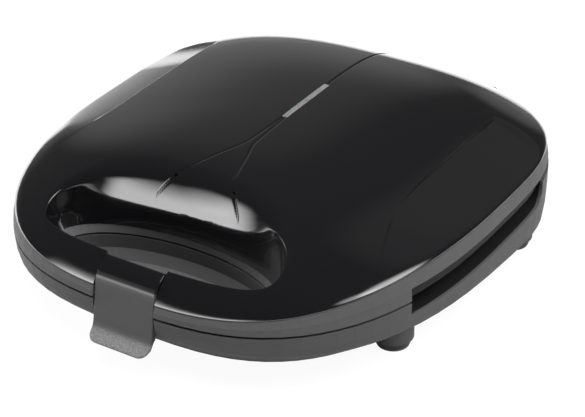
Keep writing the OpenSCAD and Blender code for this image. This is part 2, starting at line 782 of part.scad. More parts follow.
module lid_cover() {
    color([0.05, 0.05, 0.06])
    difference() {
        cover_outside();
        difference() {
            cover_inside();
            cover_bosses();
            well_space(shell_t, crown_z + 2);
        }
        facet_space(0);
        well_space(0, crown_z + 4);
        translate([0, 0, well_wall_top + 0.2 - far]) linear_extrude(far)
            polygon([for (p = well_ring(well_wall_top, shell_t + 2)) [p.x, p.y]]);
        cover_grooves();
        latch_notch(0);
        along_x_pin(0, latch_y, latch_z, latch_pin_r + held_fit, latch_w + 12);
        for (p = cover_screw_spots) translate([p.x, p.y, 0]) cylinder(h = deck_z + 9, r = screw_r + held_fit);
        block([-lens_w / 2 - 0.1, lens_y - lens_l - 0.5, carrier_top - 1],
            [lens_w / 2 + 0.1, lens_y + lens_l + 0.5, far]);
    }
}

module frame_inside() {
    loft([flat_ring(skirt_inset + shell_t, parting_z - 1), flat_ring(skirt_inset + shell_t, lid_side_z + 1),
        flat_ring(shell_t + 1.2, lid_side_z + 3), flat_ring(shell_t + band_lean, parting_z + 40)]);
}

module lid_frame() {
    color([0.36, 0.36, 0.37])
    difference() {
        union() {
            difference() {
                loft([band_ring(0), band_ring(0.5), band_ring(1)]);
                difference() {
                    frame_inside();
                    block([-far, -far, deck_z], [far, far, deck_z + shell_t]);
                    well_space(shell_t, well_wall_top);
                    intersection() {
                        block([-latch_room - 5, -far, 0], [latch_room + 5, well_y - 12, deck_z + shell_t]);
                        well_space(14, well_wall_top + 9);
                    }
                    for (x = [-1, 1], y = [-1, 1])
                        translate([x * plate_screw_x, plate_y + y * plate_screw_y, deck_z])
                            cylinder(h = plate_screw_len - seat_level + 1, r = screw_r + 2.2);
                }
                difference() {
                    block([-far, gap_front_y, 0], [far, far, lid_side_z]);
                    prism(skirt_inset, 0, far);
                }
                for (s = [-1, 1], e = [-1, 1])
                    along_x_pin(s * hinge_x + e * (ear_x + 0.1), hinge_y, hinge_z, ear_r + moving_gap,
                        ear_t + 2 * ear_gap + 0.2);
            }
            for (s = [-1, 1]) translate([s * hinge_x, 0, 0]) across(lug_w) {
                translate([hinge_y, hinge_z]) circle(ear_r);
                polygon([[hinge_y, hinge_z - lug_drop], [hinge_y, hinge_z + ear_r],
                    [hinge_y - ear_r - 1, hinge_z + ear_r], [hinge_y - ear_r - 3, hinge_z - lug_drop]]);
            }
        }
        well_space(0, crown_z + 4);
        lid_side() plate_outline(tray_w, tray_d, tray_r, seat_play, 0, 40);
        for (x = [-1, 1], y = [-1, 1])
            translate([x * plate_screw_x, plate_y + y * plate_screw_y, 0])
                cylinder(h = meet_z + plate_screw_len + 0.2, r = screw_r + held_fit);
        for (p = cover_screw_spots) translate([p.x, p.y, 0]) cylinder(h = far, r = screw_r + 0.2);
        latch_notch(deck_z - 0.6);
        block([-latch_room, -far, 0], [latch_room, front_y + 4.6, far]);
        for (s = [-1, 1])
            along_x_pin(s * hinge_x, hinge_y, hinge_z, hinge_pin_r + running_fit, far / 10);
    }
}

module cover_screws() {
    color([0.72, 0.72, 0.74])
    for (p = cover_screw_spots) translate([p.x, p.y, deck_z - 0.1]) rotate_extrude()
        polygon([[0, -head_h + 0.4], [0.9, -head_h + 0.4], [0.9, -head_h], [head_r - 0.4, -head_h],
            [head_r, -head_h + 0.4], [head_r, 0], [screw_r, 0], [screw_r, 8.6], [0, 8.6]]);
}

module indicator_lenses() {
    color([0.80, 0.80, 0.78])
    for (s = [-1, 1]) translate([-lens_w / 2, lens_y + s * (lens_l / 2 + 0.15) - lens_l / 2, carrier_top - 2.2])
        cube([lens_w, lens_l, crown_z - carrier_top + 2.2]);
}

module lens_carrier() {
    length = 2 * lens_l + 10;
    color([0.85, 0.85, 0.83])
    difference() {
        union() {
            block([-6, lens_y - length / 2, carrier_top - 4], [6, lens_y + length / 2, carrier_top]);
            both_sides() block([2.6, lens_y - length / 4, carrier_top - 8],
                [3.8, lens_y + length / 4, carrier_top - 3]);
        }
        block([-1.1, lens_y - lens_l + 0.2, carrier_top - 9], [1.1, lens_y + lens_l - 0.2, far]);
        block([-lens_w / 2 - 0.1, lens_y - lens_l - 0.4, carrier_top - 2.4],
            [lens_w / 2 + 0.1, lens_y + lens_l + 0.4, far]);
        for (s = [-1, 1]) translate([0, lens_y + s * (lens_l + 2.6), carrier_top - 5])
            cylinder(h = 6, r = 1.5 + held_fit);
    }
}

module neon_lamps() {
    color([0.90, 0.70, 0.55])
    for (s = [-1, 1]) translate([0, lens_y + s * 7 - 5.5, carrier_top - 6.4]) rotate([-90, 0, 0]) {
        cylinder(h = 11, r = 2.3);
        for (x = [-0.9, 0.9]) translate([x, 0, s > 0 ? 11 : -3]) cylinder(h = 3, r = 0.3);
    }
}

module lid_wiring() {
    pin_y = plate_y + plate_d / 2 + 9.8;
    pin_z = meet_z + heater_level;
    lamp_z = carrier_top - 6.4;
    color([0.75, 0.30, 0.12])
    for (s = [-1, 1])
        lead([[s * heater_x, pin_y, pin_z], [s * (heater_x - 6), pin_y + 0.4, pin_z + 0.6],
            [s * (heater_x - 14), pin_y - 9, pin_z + 4.4], [s * 20, lens_y + 40, lamp_z - 0.6],
            [s * 0.9, lens_y + 22, lamp_z], [s * 0.9, lens_y + 15.8, lamp_z]], 0.8);
}

// ---------- latch ----------

module latch_pin() {
    color([0.72, 0.72, 0.74])
    along_x_pin(0, latch_y, latch_z, latch_pin_r, latch_w + 11.8);
}

module latch_clip() {
    face_y = front_y - latch_proud;
    color([0.12, 0.12, 0.13])
    difference() {
        across(latch_w) {
            polygon([[latch_y + 5, latch_z], [latch_y + 5, latch_z + 6.4], [latch_y + 4.4, latch_z + 7],
                [latch_y + 3, latch_z + 7.1], [latch_y, latch_z + 5.1], [latch_y - 2.6, latch_z + 2.6],
                [latch_y - 4.4, latch_z + 0.2], [latch_y - 5.2, latch_z - 2.4], [front_y + 1.1, parting_z],
                [face_y, parting_z - 12], [face_y - 1.6, parting_z - 14.6],
                [face_y - lip_reach, parting_z - 17.8], [face_y - lip_reach + 1, parting_z - 19.4],
                [face_y - 0.3, parting_z - 16.6], [face_y + 2, parting_z - 13.4],
                [catch_y - 1.3, parting_z - 12.6], [catch_y - 1.3, parting_z - 10.9],
                [face_y + latch_t + 0.4, parting_z - 10.2], [front_y + 1.1 + latch_t, parting_z],
                [latch_y - 2.6, latch_z - 4.3]]);
            translate([latch_y, latch_z]) circle(latch_head);
        }
        along_x_pin(0, latch_y, latch_z, latch_pin_r + running_fit, latch_w + 2);
    }
}

// ---------- assembly ----------

base_shell();
lower_plate();
lower_plate_screws();
lower_heater();
lower_heater_clamps();
lower_reflector();
thermostat();
thermal_fuse();
terminal_block();
earth_tag();
cord_gland();
base_wiring();
rubber_feet();
foot_screws();
hinge_pins();
lid_cover();
lid_frame();
cover_screws();
upper_plate();
upper_plate_screws();
upper_heater();
upper_heater_clamps();
upper_reflector();
indicator_lenses();
lens_carrier();
neon_lamps();
lid_wiring();
latch_pin();
latch_clip();
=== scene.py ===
"""Looks of the sandwich toaster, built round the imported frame. Metres, +Z up, the latch towards -Y."""

import json
import math

import bpy
import numpy as np
from mathutils import Matrix, Vector
from mathutils.bvhtree import BVHTree
from mathutils.geometry import barycentric_transform, delaunay_2d_cdt, tessellate_polygon
from mathutils.kdtree import KDTree


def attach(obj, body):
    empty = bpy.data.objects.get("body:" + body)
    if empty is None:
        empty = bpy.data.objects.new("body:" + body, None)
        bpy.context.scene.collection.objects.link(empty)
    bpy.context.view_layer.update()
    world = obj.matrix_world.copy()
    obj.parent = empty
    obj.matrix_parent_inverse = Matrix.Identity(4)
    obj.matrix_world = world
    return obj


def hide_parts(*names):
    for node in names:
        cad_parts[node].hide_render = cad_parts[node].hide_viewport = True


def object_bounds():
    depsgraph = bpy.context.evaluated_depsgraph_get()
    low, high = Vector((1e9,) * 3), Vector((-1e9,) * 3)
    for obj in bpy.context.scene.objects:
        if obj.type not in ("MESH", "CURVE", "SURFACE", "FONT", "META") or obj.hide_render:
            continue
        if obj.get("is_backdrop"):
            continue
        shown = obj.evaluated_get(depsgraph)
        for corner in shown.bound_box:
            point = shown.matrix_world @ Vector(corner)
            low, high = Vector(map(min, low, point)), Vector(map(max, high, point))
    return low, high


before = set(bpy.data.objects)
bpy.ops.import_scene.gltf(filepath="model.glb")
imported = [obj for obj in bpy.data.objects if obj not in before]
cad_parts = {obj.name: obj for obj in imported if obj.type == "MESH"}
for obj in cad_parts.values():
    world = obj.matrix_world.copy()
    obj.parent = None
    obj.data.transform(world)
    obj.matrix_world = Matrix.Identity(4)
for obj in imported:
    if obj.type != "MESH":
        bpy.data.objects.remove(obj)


def plain(bounds):
    """Bounds as lists of numbers, so that they can be written down."""
    return json.loads(json.dumps(bounds, default=list))


size = {"loaded": plain(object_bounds())}
MM = 0.001

# the housing's outline in millimetres: two half superellipses that meet where it is widest
FRONT, WIDEST, REAR = -123.0, 33.0, 127.0
HALF_WIDTH, POWER = 114.5, 2.8


# ---------- shading tools ----------


class Varying:
    """A number or colour that varies over a surface, and can be reckoned with like a number."""

    def __init__(self, paint, socket):
        self.paint, self.socket = paint, socket

    def math(self, operation, *others):
        return self.paint.node("ShaderNodeMath", [self, *others], operation=operation)

    def __add__(self, other):
        return self.math("ADD", other)

    def __sub__(self, other):
        return self.math("SUBTRACT", other)

    def __mul__(self, other):
        return self.math("MULTIPLY", other)

    def __truediv__(self, other):
        return self.math("DIVIDE", other)

    def __pow__(self, other):
        return self.math("POWER", other)

    def __rsub__(self, other):
        return self.paint.node("ShaderNodeMath", [other, self], operation="SUBTRACT")

    def __rtruediv__(self, other):
        return self.paint.node("ShaderNodeMath", [other, self], operation="DIVIDE")

    def __abs__(self):
        return self.math("ABSOLUTE")

    __radd__ = __add__
    __rmul__ = __mul__

    def ramp(self, low, high):
        """0 below low, 1 above high, and smooth between them."""
        limits = [self, low, high, 0.0, 1.0]
        return self.paint.node("ShaderNodeMapRange", limits, interpolation_type="SMOOTHSTEP")


class Paint:
    """A material, or the world, and the nodes it is made of."""

    def __init__(self, name, owner=None, **fixed):
        self.material = owner or bpy.data.materials.new(name)
        self.material.use_nodes = True
        self.tree = self.material.node_tree
        self.shader = self.tree.nodes.get("Principled BSDF") or self.tree.nodes.get("Background")
        for socket, value in fixed.items():
            self.shader.inputs[socket.replace("_", " ")].default_value = value

    def node(self, kind, inputs=(), output=0, **settings):
        """One node with these settings, its inputs fed in order, or by name from a dictionary."""
        made = self.tree.nodes.new(kind)
        for key, value in settings.items():
            setattr(made, key, value)
        pairs = inputs.items() if isinstance(inputs, dict) else enumerate(inputs)
        for key, value in pairs:
            self.feed(made.inputs[key], value)
        return Varying(self, made.outputs[output])

    def feed(self, socket, value):
        if isinstance(value, Varying):
            self.tree.links.new(value.socket, socket)
        else:
            socket.default_value = value

    def set(self, **sockets):
        for name, value in sockets.items():
            self.feed(self.shader.inputs[name.replace("_", " ")], value)
        return self.material

    def place(self, stretch=(1, 1, 1)):
        """Where on the piece a point is, in metres, stretched along the axes."""
        spot = self.node("ShaderNodeTexCoord", output="Object")
        return self.node("ShaderNodeVectorMath", [spot, stretch], operation="MULTIPLY")

    def noise(self, size, detail=3.0, rough=0.55, stretch=(1, 1, 1)):
        """Cloudy variation from 0 to 1 whose blotches are about size metres."""
        return self.node(
            "ShaderNodeTexNoise",
            {"Vector": self.place(stretch), "Scale": 1.0 / size, "Detail": detail, "Roughness": rough},
        )

    def grains(self, size):
        """Distance to the nearest of scattered points, for grain and specks."""
        return self.node("ShaderNodeTexVoronoi", {"Vector": self.place(), "Scale": 1.0 / size})

    def coordinate(self, axis):
        """How far along X, Y or Z (0, 1 or 2) a point of the piece is, in metres."""
        spot = self.node("ShaderNodeTexCoord", output="Object")
        return self.node("ShaderNodeSeparateXYZ", [spot], output=axis)

    def blend(self, share, a, b):
        """Colour a where share is 0, and b where it is 1."""
        a, b = (colour if isinstance(colour, Varying) else (*colour, 1) for colour in (a, b))
        return self.node("ShaderNodeMix", {0: share, 6: a, 7: b}, output=2, data_type="RGBA")

    def relief(self, height, depth, strength=1.0):
        """A bump of that depth in metres for a height that runs from 0 to 1."""
        return self.node("ShaderNodeBump", {"Height": height, "Distance": depth, "Strength": strength})


# ---------- finishes ----------


def gloss_black():
    """Polished black plastic: near mirror, with faint swirls from wiping and a little dust."""
    p = Paint("polished black cover", IOR=1.5, Coat_Weight=1.0, Coat_Roughness=0.02, Coat_IOR=1.65)
    smear = p.noise(0.045, 4.0, 0.6)
    wipe = p.noise(0.004, 2.0, 0.5, (1.0, 0.12, 1.0))
    dust = 1.0 - p.grains(0.0016).ramp(0.02, 0.09)
    return p.set(
        Base_Color=p.blend(dust * 0.25, (0.0035, 0.0035, 0.004), (0.05, 0.05, 0.05)),
        Roughness=0.07 + smear * 0.05 + wipe * 0.03 + dust * 0.1,
        Normal=p.relief(smear, 0.00002, 0.25),
    )


def grained(name, shade, rough=0.52, grain=0.00055, depth=0.00004, painted_shade_heights=None):
    """Moulded plastic with a fine spark-eroded grain and slightly uneven tone.

    The grain makes the outside look grey. The heights for painted shade, if given, are two heights between
    which the faces within the outer wall, behind the finger well, get painted shade, nearly black, for the
    dark recess."""
    p = Paint(name, IOR=1.5, Specular_IOR_Level=0.08)
    pits = p.grains(grain)
    cloud = p.noise(0.03, 3.0)
    rub = p.noise(0.006, 4.0, 0.7)
    low = tuple(c * 0.9 for c in shade)
    high = tuple(min(1, c * 1.1) for c in shade)
    tone = p.blend(cloud * 0.6 + pits * 0.4, low, high)
    # painted shade: faces in the recess behind the side openings are painted nearly black
    if painted_shade_heights:
        tone = p.blend(inside(p, *painted_shade_heights), tone, (0.009, 0.009, 0.0095))
    return p.set(
        Base_Color=tone,
        Roughness=rough - 0.05 + rub * 0.1 + pits * 0.06,
        Normal=p.relief(pits, depth, 0.5),
    )


# the superellipse's sum, 1 on the outline, between whose values the inside of the wall begins
INSIDE_SUMS = (0.955, 0.965)
# metres: where the side openings start behind the finger well, and the width of the painted shade's edges
OPENING_START, DARK_EDGE = -0.056, 0.0002


def inside(p, low, high):
    """Mask of the painted shade: 1 on faces further in than the outer wall, between two heights and behind
    the finger well.
    """
    x, y, z = (p.coordinate(axis) for axis in range(3))
    ahead, behind = (WIDEST - FRONT) * MM, (REAR - WIDEST) * MM
    back = y - WIDEST * MM
    reach = ahead - back.ramp(-DARK_EDGE / 2, DARK_EDGE / 2) * (ahead - behind)
    total = (abs(x) / (HALF_WIDTH * MM)) ** POWER + (abs(back) / reach) ** POWER
    within = 1.0 - total.ramp(*INSIDE_SUMS)
    between = z.ramp(low - DARK_EDGE, low) * (1.0 - z.ramp(high, high + DARK_EDGE))
    return within * between * y.ramp(OPENING_START - DARK_EDGE, OPENING_START + DARK_EDGE)


# metres: heights between which the latch's face turns into its polished top, and its lip, painted lighter as
# painted light, into its face
POLISH_HEIGHTS, LIP_HEIGHTS = (0.0392, 0.0418), (0.0162, 0.0185)


def satin_clip():
    """The latch: satin plastic with a fine grain on face and lip, polished black on top like the cover; the
    lip is painted lighter, as painted light for the lamp light it catches.
    """
    p = Paint("satin latch plastic", IOR=1.5, Specular_IOR_Level=0.2, Coat_Roughness=0.06, Coat_IOR=1.6)
    grain = p.grains(0.0005)
    rub = p.noise(0.012, 4.0, 0.6)
    height = p.coordinate(2)
    polished = height.ramp(*POLISH_HEIGHTS)
    lip = 1.0 - height.ramp(*LIP_HEIGHTS)
    satin = p.blend(rub * 0.6 + grain * 0.4, (0.034, 0.034, 0.0355), (0.047, 0.047, 0.0485))
    # painted light: the thumb lip is painted lighter than the face, for the lamp light it catches, speckled
    # by the grain
    painted_light_lip = p.blend(grain.ramp(0.2, 0.9), (0.075, 0.075, 0.077), (0.15, 0.15, 0.152))
    face = p.blend(lip, satin, painted_light_lip)
    return p.set(
        Base_Color=p.blend(polished, face, (0.004, 0.004, 0.0045)),
        Roughness=(0.36 + rub * 0.08 + grain * 0.05) * (1.0 - polished) + polished * 0.1,
        Coat_Weight=polished,
        Normal=p.relief(grain * (1.0 - polished), 0.00003, 0.5),
    )


def frosted():
    """The pilot lenses: pale frosted plastic that glows a little from inside."""
    p = Paint("frosted lens", IOR=1.49, Transmission_Weight=0.25, Subsurface_Weight=0.3,
              Subsurface_Scale=0.002)
    cloud = p.noise(0.004, 3.0)
    frost = p.grains(0.0003)
    return p.set(
        Base_Color=p.blend(cloud, (0.105, 0.105, 0.105), (0.15, 0.15, 0.149)),
        Roughness=0.42 + frost * 0.12,
        Normal=p.relief(frost, 0.00002, 0.5),
    )


def rubber():
    """Feet and gland: dull black rubber with a bloom on it."""
    p = Paint("black rubber", IOR=1.45, Sheen_Weight=0.15)
    bloom = p.noise(0.008, 5.0, 0.65)
    pores = p.grains(0.0007)
    return p.set(
        Base_Color=p.blend(bloom.ramp(0.35, 0.8), (0.022, 0.022, 0.023), (0.05, 0.05, 0.051)),
        Roughness=0.7 + bloom * 0.18,
        Normal=p.relief(pores, 0.00005, 0.5),
    )


def non_stick():
    """Cooking plates: dark coating with fine mineral specks and a soft orange-peel surface."""
    p = Paint("speckled non-stick coating", IOR=1.45)
    specks = 1.0 - p.grains(0.0011).ramp(0.08, 0.2)
    peel = p.noise(0.0018, 2.0, 0.5)
    wear = p.noise(0.02, 5.0, 0.65)
    return p.set(
        Base_Color=p.blend(specks * 0.6 + wear * 0.15, (0.022, 0.022, 0.024), (0.13, 0.13, 0.13)),
        Roughness=0.34 + peel * 0.08 + wear * 0.1,
        Normal=p.relief(peel, 0.00006, 0.6),
    )


def metal(name, shade, rough, lines=(1.0, 0.04, 1.0), dull=0.0):
    """Bare metal with drawing lines along one way and a patchy dullness."""
    p = Paint(name, Metallic=1.0)
    draw = p.noise(0.0006, 3.0, 0.6, lines)
    patch = p.noise(0.012, 4.0, 0.6)
    dark = tuple(c * (0.72 - 0.3 * dull) for c in shade)
    return p.set(
        Base_Color=p.blend(draw * 0.5 + patch * 0.5, dark, shade),
        Roughness=rough - 0.08 + draw * 0.12 + patch * 0.1,
        Normal=p.relief(draw, 0.00002, 0.5),
    )


def ceramic():
    """Glazed ceramic of the thermostat and fuse, with faint mottling."""
    p = Paint("glazed ceramic", IOR=1.55, Coat_Weight=0.4, Coat_Roughness=0.1)
    mottle = p.noise(0.003, 5.0, 0.6)
    return p.set(
        Base_Color=p.blend(mottle, (0.62, 0.59, 0.5), (0.74, 0.71, 0.62)),
        Roughness=0.3 + mottle * 0.15,
        Normal=p.relief(mottle, 0.00003, 0.3),
    )


def sleeve():
    """Silicone sleeve of the leads, matt and slightly ribbed."""
    p = Paint("silicone sleeve", IOR=1.42)
    tone = p.noise(0.01, 3.0)
    ribs = p.noise(0.0008, 2.0, 0.5)
    return p.set(
        Base_Color=p.blend(tone, (0.38, 0.07, 0.025), (0.5, 0.11, 0.04)),
        Roughness=0.5 + ribs * 0.15,
        Normal=p.relief(ribs, 0.00004, 0.4),
    )


def lamp_glass():
    """Neon lamps: clear glass that shows a warm tint from the electrodes inside."""
    p = Paint("neon lamp glass", IOR=1.5, Transmission_Weight=0.7)
    fill = p.noise(0.003, 3.0)
    return p.set(Base_Color=p.blend(fill, (0.9, 0.6, 0.4), (0.95, 0.75, 0.6)), Roughness=0.05 + fill * 0.05)


def dress(finish, *nodes):
    """Gives CAD nodes a finish."""
    for name in nodes:
        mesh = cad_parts[name].data
        mesh.materials.clear()
        mesh.materials.append(finish)


cover_finish = gloss_black()
latch_finish = satin_clip()
dress(cover_finish, "lid_cover")
# lid frame and base: painted shade, nearly black, on the faces in the recess behind the side openings
dress(grained("matt grey lid frame", (0.06, 0.06, 0.0615), painted_shade_heights=(0.0, 0.0375)), "lid_frame")
dress(grained("matt grey base", (0.056, 0.056, 0.0575), painted_shade_heights=(0.0225, 0.1)), "base_shell")
dress(latch_finish, "latch_clip")
dress(frosted(), "indicator_lenses")
dress(rubber(), "rubber_feet", "cord_gland")
dress(non_stick(), "lower_plate", "upper_plate")
dress(metal("zinc plated screws", (0.6, 0.61, 0.63), 0.36), "lower_plate_screws", "upper_plate_screws",
      "cover_screws", "foot_screws")
dress(metal("ground pins", (0.62, 0.62, 0.64), 0.24, (0.04, 1.0, 1.0)), "hinge_pins")
dress(metal("blackened latch pin", (0.05, 0.05, 0.055), 0.4, (0.04, 1.0, 1.0)), "latch_pin")
dress(metal("heater tube", (0.32, 0.31, 0.3), 0.5, (1.0, 0.3, 1.0), 0.6), "lower_heater", "upper_heater")
dress(metal("spring steel clamps", (0.48, 0.48, 0.5), 0.38), "lower_heater_clamps", "upper_heater_clamps")
dress(metal("bright reflector sheet", (0.74, 0.75, 0.77), 0.2), "lower_reflector", "upper_reflector")
dress(metal("brass", (0.68, 0.49, 0.22), 0.3), "earth_tag")
dress(ceramic(), "thermostat", "thermal_fuse")
dress(grained("cream terminal plastic", (0.72, 0.7, 0.62), 0.45), "terminal_block", "lens_carrier")
dress(sleeve(), "base_wiring", "lid_wiring")
dress(lamp_glass(), "neon_lamps")

# ---------- lid cover ----------
# The cover's outside in millimetres, finer than the frame's: the same dome, facets, creases and scoop,
# with the soft edges that the mould gives them.

# heights of the parting line and the crown, and the thickness of the cover's wall
PARTING, CROWN, WALL = 31.0, 64.0, 2.4
# the grey band under the cover: its height in front, its rise along the sides, over which way, and its lean
BAND_FRONT, BAND_RISE, BAND_WAY, LEAN = 6.3, 9.0, 100.0, 1.5
# power with which the dome falls off towards the front and towards the sides
FRONT_FULLNESS, SIDE_FULLNESS = 7.0, 4.2
# the cover's rounded rim: its reach and drop, how far its lower edge curls in and down, and the rows of each
RIM_REACH, RIM_DROP, CURL, CURL_DROP, RIM_ROWS, CURL_ROWS = 4.4, 1.05, 0.9, 0.4, 9, 6
# the side facets: distance of the inner edge, slope, drop and width of the small wall along that edge
FACET_X, FACET_SLOPE, FACET_DROP, FACET_WALL = 81.5, 0.38, 1.2, 0.9
# their front end and how softly they fade in, and their rear end and the depth of its wall
FACET_FRONT, FACET_FADE, FACET_REAR, FACET_END = -64.0, 24.0, 75.0, 6.5
# how much deeper they lie at the rear, where that starts and over which way, and how much the wall widens
FACET_SINK, SINK_START, SINK_WAY, SINK_WIDENS = 0.8, 40.0, 26.0, 0.7
# the creases' depth and half width
CREASE_DEPTH, CREASE_HALF = 0.6, 0.75
# the finger well: its middle, the height of the cover's lower edge in it, and its power's inverse in front
WELL_Y, WELL_BOTTOM, WELL_ROUND = -92.0, 35.2, 0.8
# its half width and its reach to the front and to the back at the parting line, each with its change on the
# way up and the height over which that comes about
WELL_HALF, WELL_AHEAD, WELL_BEHIND = (55.5, 6.5, 16.0), (21.0, -3.0, 12.0), (24.5, 11.0, 30.0)
# the lip round the well: its width and drop in front, and how much they grow towards the back
LIP_WIDTH, LIP_DROP, LIP_WIDENS, LIP_DEEPENS = 1.5, 1.2, 6.0, 5.3
# a height below all of the lip, the numbers of rows over the lip and the scoop's wall, and how far the
# wall's lower edge laps over the frame
LOWEST_LIP, LIP_ROWS, WALL_ROWS, SCOOP_LAP = 40.0, 15, 23, 0.16
# the lens slot's half width and its ends, and the middle of the pilot lenses
SLOT_HALF, SLOT_FRONT, SLOT_REAR, LENS_Y = 1.6, 9.7, 49.9, 29.8
# the latch's notch, cut from well in front of the cover, and its pin's place (y, z)
NOTCH_HALF, NOTCH_FRONT, NOTCH_REAR, LATCH_AXIS = 16.5, -200.0, -104.0, (-115.4, 40.8)
COVER_SCREWS = [(side * 84, -72.0) for side in (-1, 1)] + [(side * 72, 105.0) for side in (-1, 1)]
# number of points round the rim and round the scoop, and closer angles (degrees) where the creases cross it
AROUND, SCOOP_AROUND, CLOSE_ANGLES = 720, 560, np.r_[np.arange(66, 83, 0.22), np.arange(97, 114, 0.22)]


def sideways(y):
    """0 at the front of the housing, rising smoothly to 1 along its sides."""
    return 1 - (1 - np.clip((y - FRONT) / BAND_WAY, 0, 1)) ** 2


def cover_edge(y):
    """Height of the cover's edge over the plan's outline."""
    return PARTING + BAND_FRONT + BAND_RISE * sideways(y)


def spow(v, power):
    """A power that keeps the sign."""
    return np.sign(v) * np.abs(v) ** power


def plan(turn, inset):
    """Points of the housing's outline in the directions turn, moved in by the inset; rows of x, y."""
    c, s = np.cos(turn), np.sin(turn)
    reach = np.where(s < 0, WIDEST - FRONT, REAR - WIDEST)
    r = (np.abs(c / HALF_WIDTH) ** POWER + np.abs(s / reach) ** POWER) ** (-1 / POWER)
    x, y = r * c, r * s
    out = np.stack([spow(x / HALF_WIDTH, POWER - 1) / HALF_WIDTH, spow(y / reach, POWER - 1) / reach], -1)
    out /= np.linalg.norm(out, axis=-1, keepdims=True)
    return np.stack([x, WIDEST + y], -1) - inset * out


def dome(x, y):
    """Height of the bare dome."""
    reach = np.where(y < WIDEST, WIDEST - FRONT, REAR - WIDEST) - LEAN
    r = (np.abs(x / (HALF_WIDTH - LEAN)) ** POWER + np.abs((y - WIDEST) / reach) ** POWER) ** (1 / POWER)
    r = np.maximum(r, 1e-3)
    edge_y = WIDEST + (y - WIDEST) / r
    edge = cover_edge(edge_y)
    fullness = FRONT_FULLNESS + (SIDE_FULLNESS - FRONT_FULLNESS) * sideways(edge_y)
    return edge + (CROWN - edge) * (1 - np.minimum(r, 1.2) ** fullness)


def soft_step(t):
    """0 below 0, 1 above 1, and smooth between them."""
    t = np.clip(t, 0, 1)
    return t * t * (3 - 2 * t)


def soft_positive(v, soft):
    """v where it is positive and 0 elsewhere, with the corner rounded off."""
    return 0.5 * (v + np.sqrt(v * v + soft * soft)) - 0.5 * soft


def even_line(points, step):
    """A row of points resampled at even steps."""
    points = np.asarray(points, float)
    lengths = np.r_[0, np.cumsum(np.linalg.norm(np.diff(points, axis=0), axis=1))]
    at = np.linspace(0, lengths[-1], max(2, int(round(lengths[-1] / step)) + 1))
    return np.stack([np.interp(at, lengths, column) for column in points.T], -1)


def smooth_line(points, step, rounds=12):
    """A row of points resampled at even steps, with its corners rounded off."""
    line = even_line(points, step)
    for _ in range(rounds):
        line[1:-1] = (line[:-2] + 2 * line[1:-1] + line[2:]) / 4
    return line


def off_line(x, y, line):
    """Distance of points from a polyline, positive on its left."""
    best, side = np.full(np.shape(x), 1e9), np.ones(np.shape(x))
    for (ax, ay), (bx, by) in zip(line[:-1], line[1:]):
        dx, dy = bx - ax, by - ay
        t = np.clip(((x - ax) * dx + (y - ay) * dy) / (dx * dx + dy * dy), 0, 1)
        gap = np.hypot(x - ax - t * dx, y - ay - t * dy)
        nearer = gap < best - 1e-9
        best = np.where(nearer, gap, best)
        side = np.where(nearer, np.where(dx * (y - ay) - dy * (x - ax) < 0, -1.0, 1.0), side)
    return best * side


FACET_EDGE = smooth_line([(FACET_X, 90), (FACET_X, -7), (82.2, -20), (84, -32), (86.6, -43), (90, -53),
                          (93, -62), (96.5, -71), (101, -81)], 1.0)
CREASE = smooth_line([(0.6, 9.6), (1.3, -6), (2, -21), (4, -26), (7.5, -37), (10.5, -47), (12, -52),
                      (14.6, -56)], 1.0)
BACK_CREASE = np.array([(0.0, SLOT_REAR + 0.7), (0.0, REAR)])
# where the wishbone creases run on down the scoop: y, x and share of the depth
SCOOP_CREASE = ((-65.1, 22.6, 0.0), (-63.8, 21.8, 0.55), (-59.5, 17.4, 1.0), (-56.0, 14.6, 1.0),
                (-52.0, 12.0, 1.0), (-47.0, 10.5, 1.0), (-37.0, 7.5, 1.0))
# between which distances from the centre line they lie there
CREASE_SPAN = (6, 30)


def crease_cut(gap, share=1.0):
    """Depth of a crease at a distance from its middle."""
    return CREASE_DEPTH * share * soft_positive(1 - np.abs(gap) / CREASE_HALF, 0.25)


def facet_cut(x, y):
    """How much a side facet takes off the dome."""
    x = np.abs(x)
    facet_z = float(dome(np.float64(FACET_X), np.float64(WIDEST))) - FACET_DROP - FACET_SLOPE * (x - FACET_X)
    deeper = soft_step((y - SINK_START) / SINK_WAY)
    share = soft_step(off_line(x, y, FACET_EDGE) / (FACET_WALL * (1 + SINK_WIDENS * deeper)))
    share = share * soft_step((FACET_REAR - y) / FACET_END) * soft_step((y - FACET_FRONT) / FACET_FADE)
    return share * soft_positive(dome(x, y) - facet_z + FACET_SINK * deeper, 0.3) * (x > FACET_X - 5)


def top(x, y):
    """Height of the cover over a place, with its facets and creases."""
    wishbone = crease_cut(off_line(np.abs(x), y, CREASE)) * (y < LENS_Y)
    back = crease_cut(off_line(x, y, BACK_CREASE)) * (y > LENS_Y)
    return dome(x, y) - facet_cut(x, y) - np.maximum(wishbone, back)


def top_normals(x, y):
    """Outward normals of the cover over a place."""
    step = 0.04
    slope_x = (top(x + step, y) - top(x - step, y)) / (2 * step)
    slope_y = (top(x, y + step) - top(x, y - step)) / (2 * step)
    n = np.stack([-slope_x, -slope_y, np.ones_like(x)], -1)
    return n / np.linalg.norm(n, axis=1, keepdims=True)


def well_wall(a, z, wall=0.0):
    """Points of the finger well's wall at angle a and height z; rows of x, y, z."""
    c, s = np.cos(a), np.sin(a)
    part = [np.clip((z - PARTING) / height, 0, 1) for _, _, height in (WELL_HALF, WELL_AHEAD, WELL_BEHIND)]
    half = WELL_HALF[0] + WELL_HALF[1] * np.sin(np.radians(90 * part[0])) + wall
    ahead, behind = WELL_AHEAD[0] + WELL_AHEAD[1] * part[1], WELL_BEHIND[0] + WELL_BEHIND[1] * part[2] ** 2
    power = np.where(s < 0, WELL_ROUND, 1.0)
    reach = np.where(s < 0, ahead, behind) + wall
    return np.stack([half * spow(c, power), WELL_Y + reach * spow(s, power), z + 0 * a], -1)


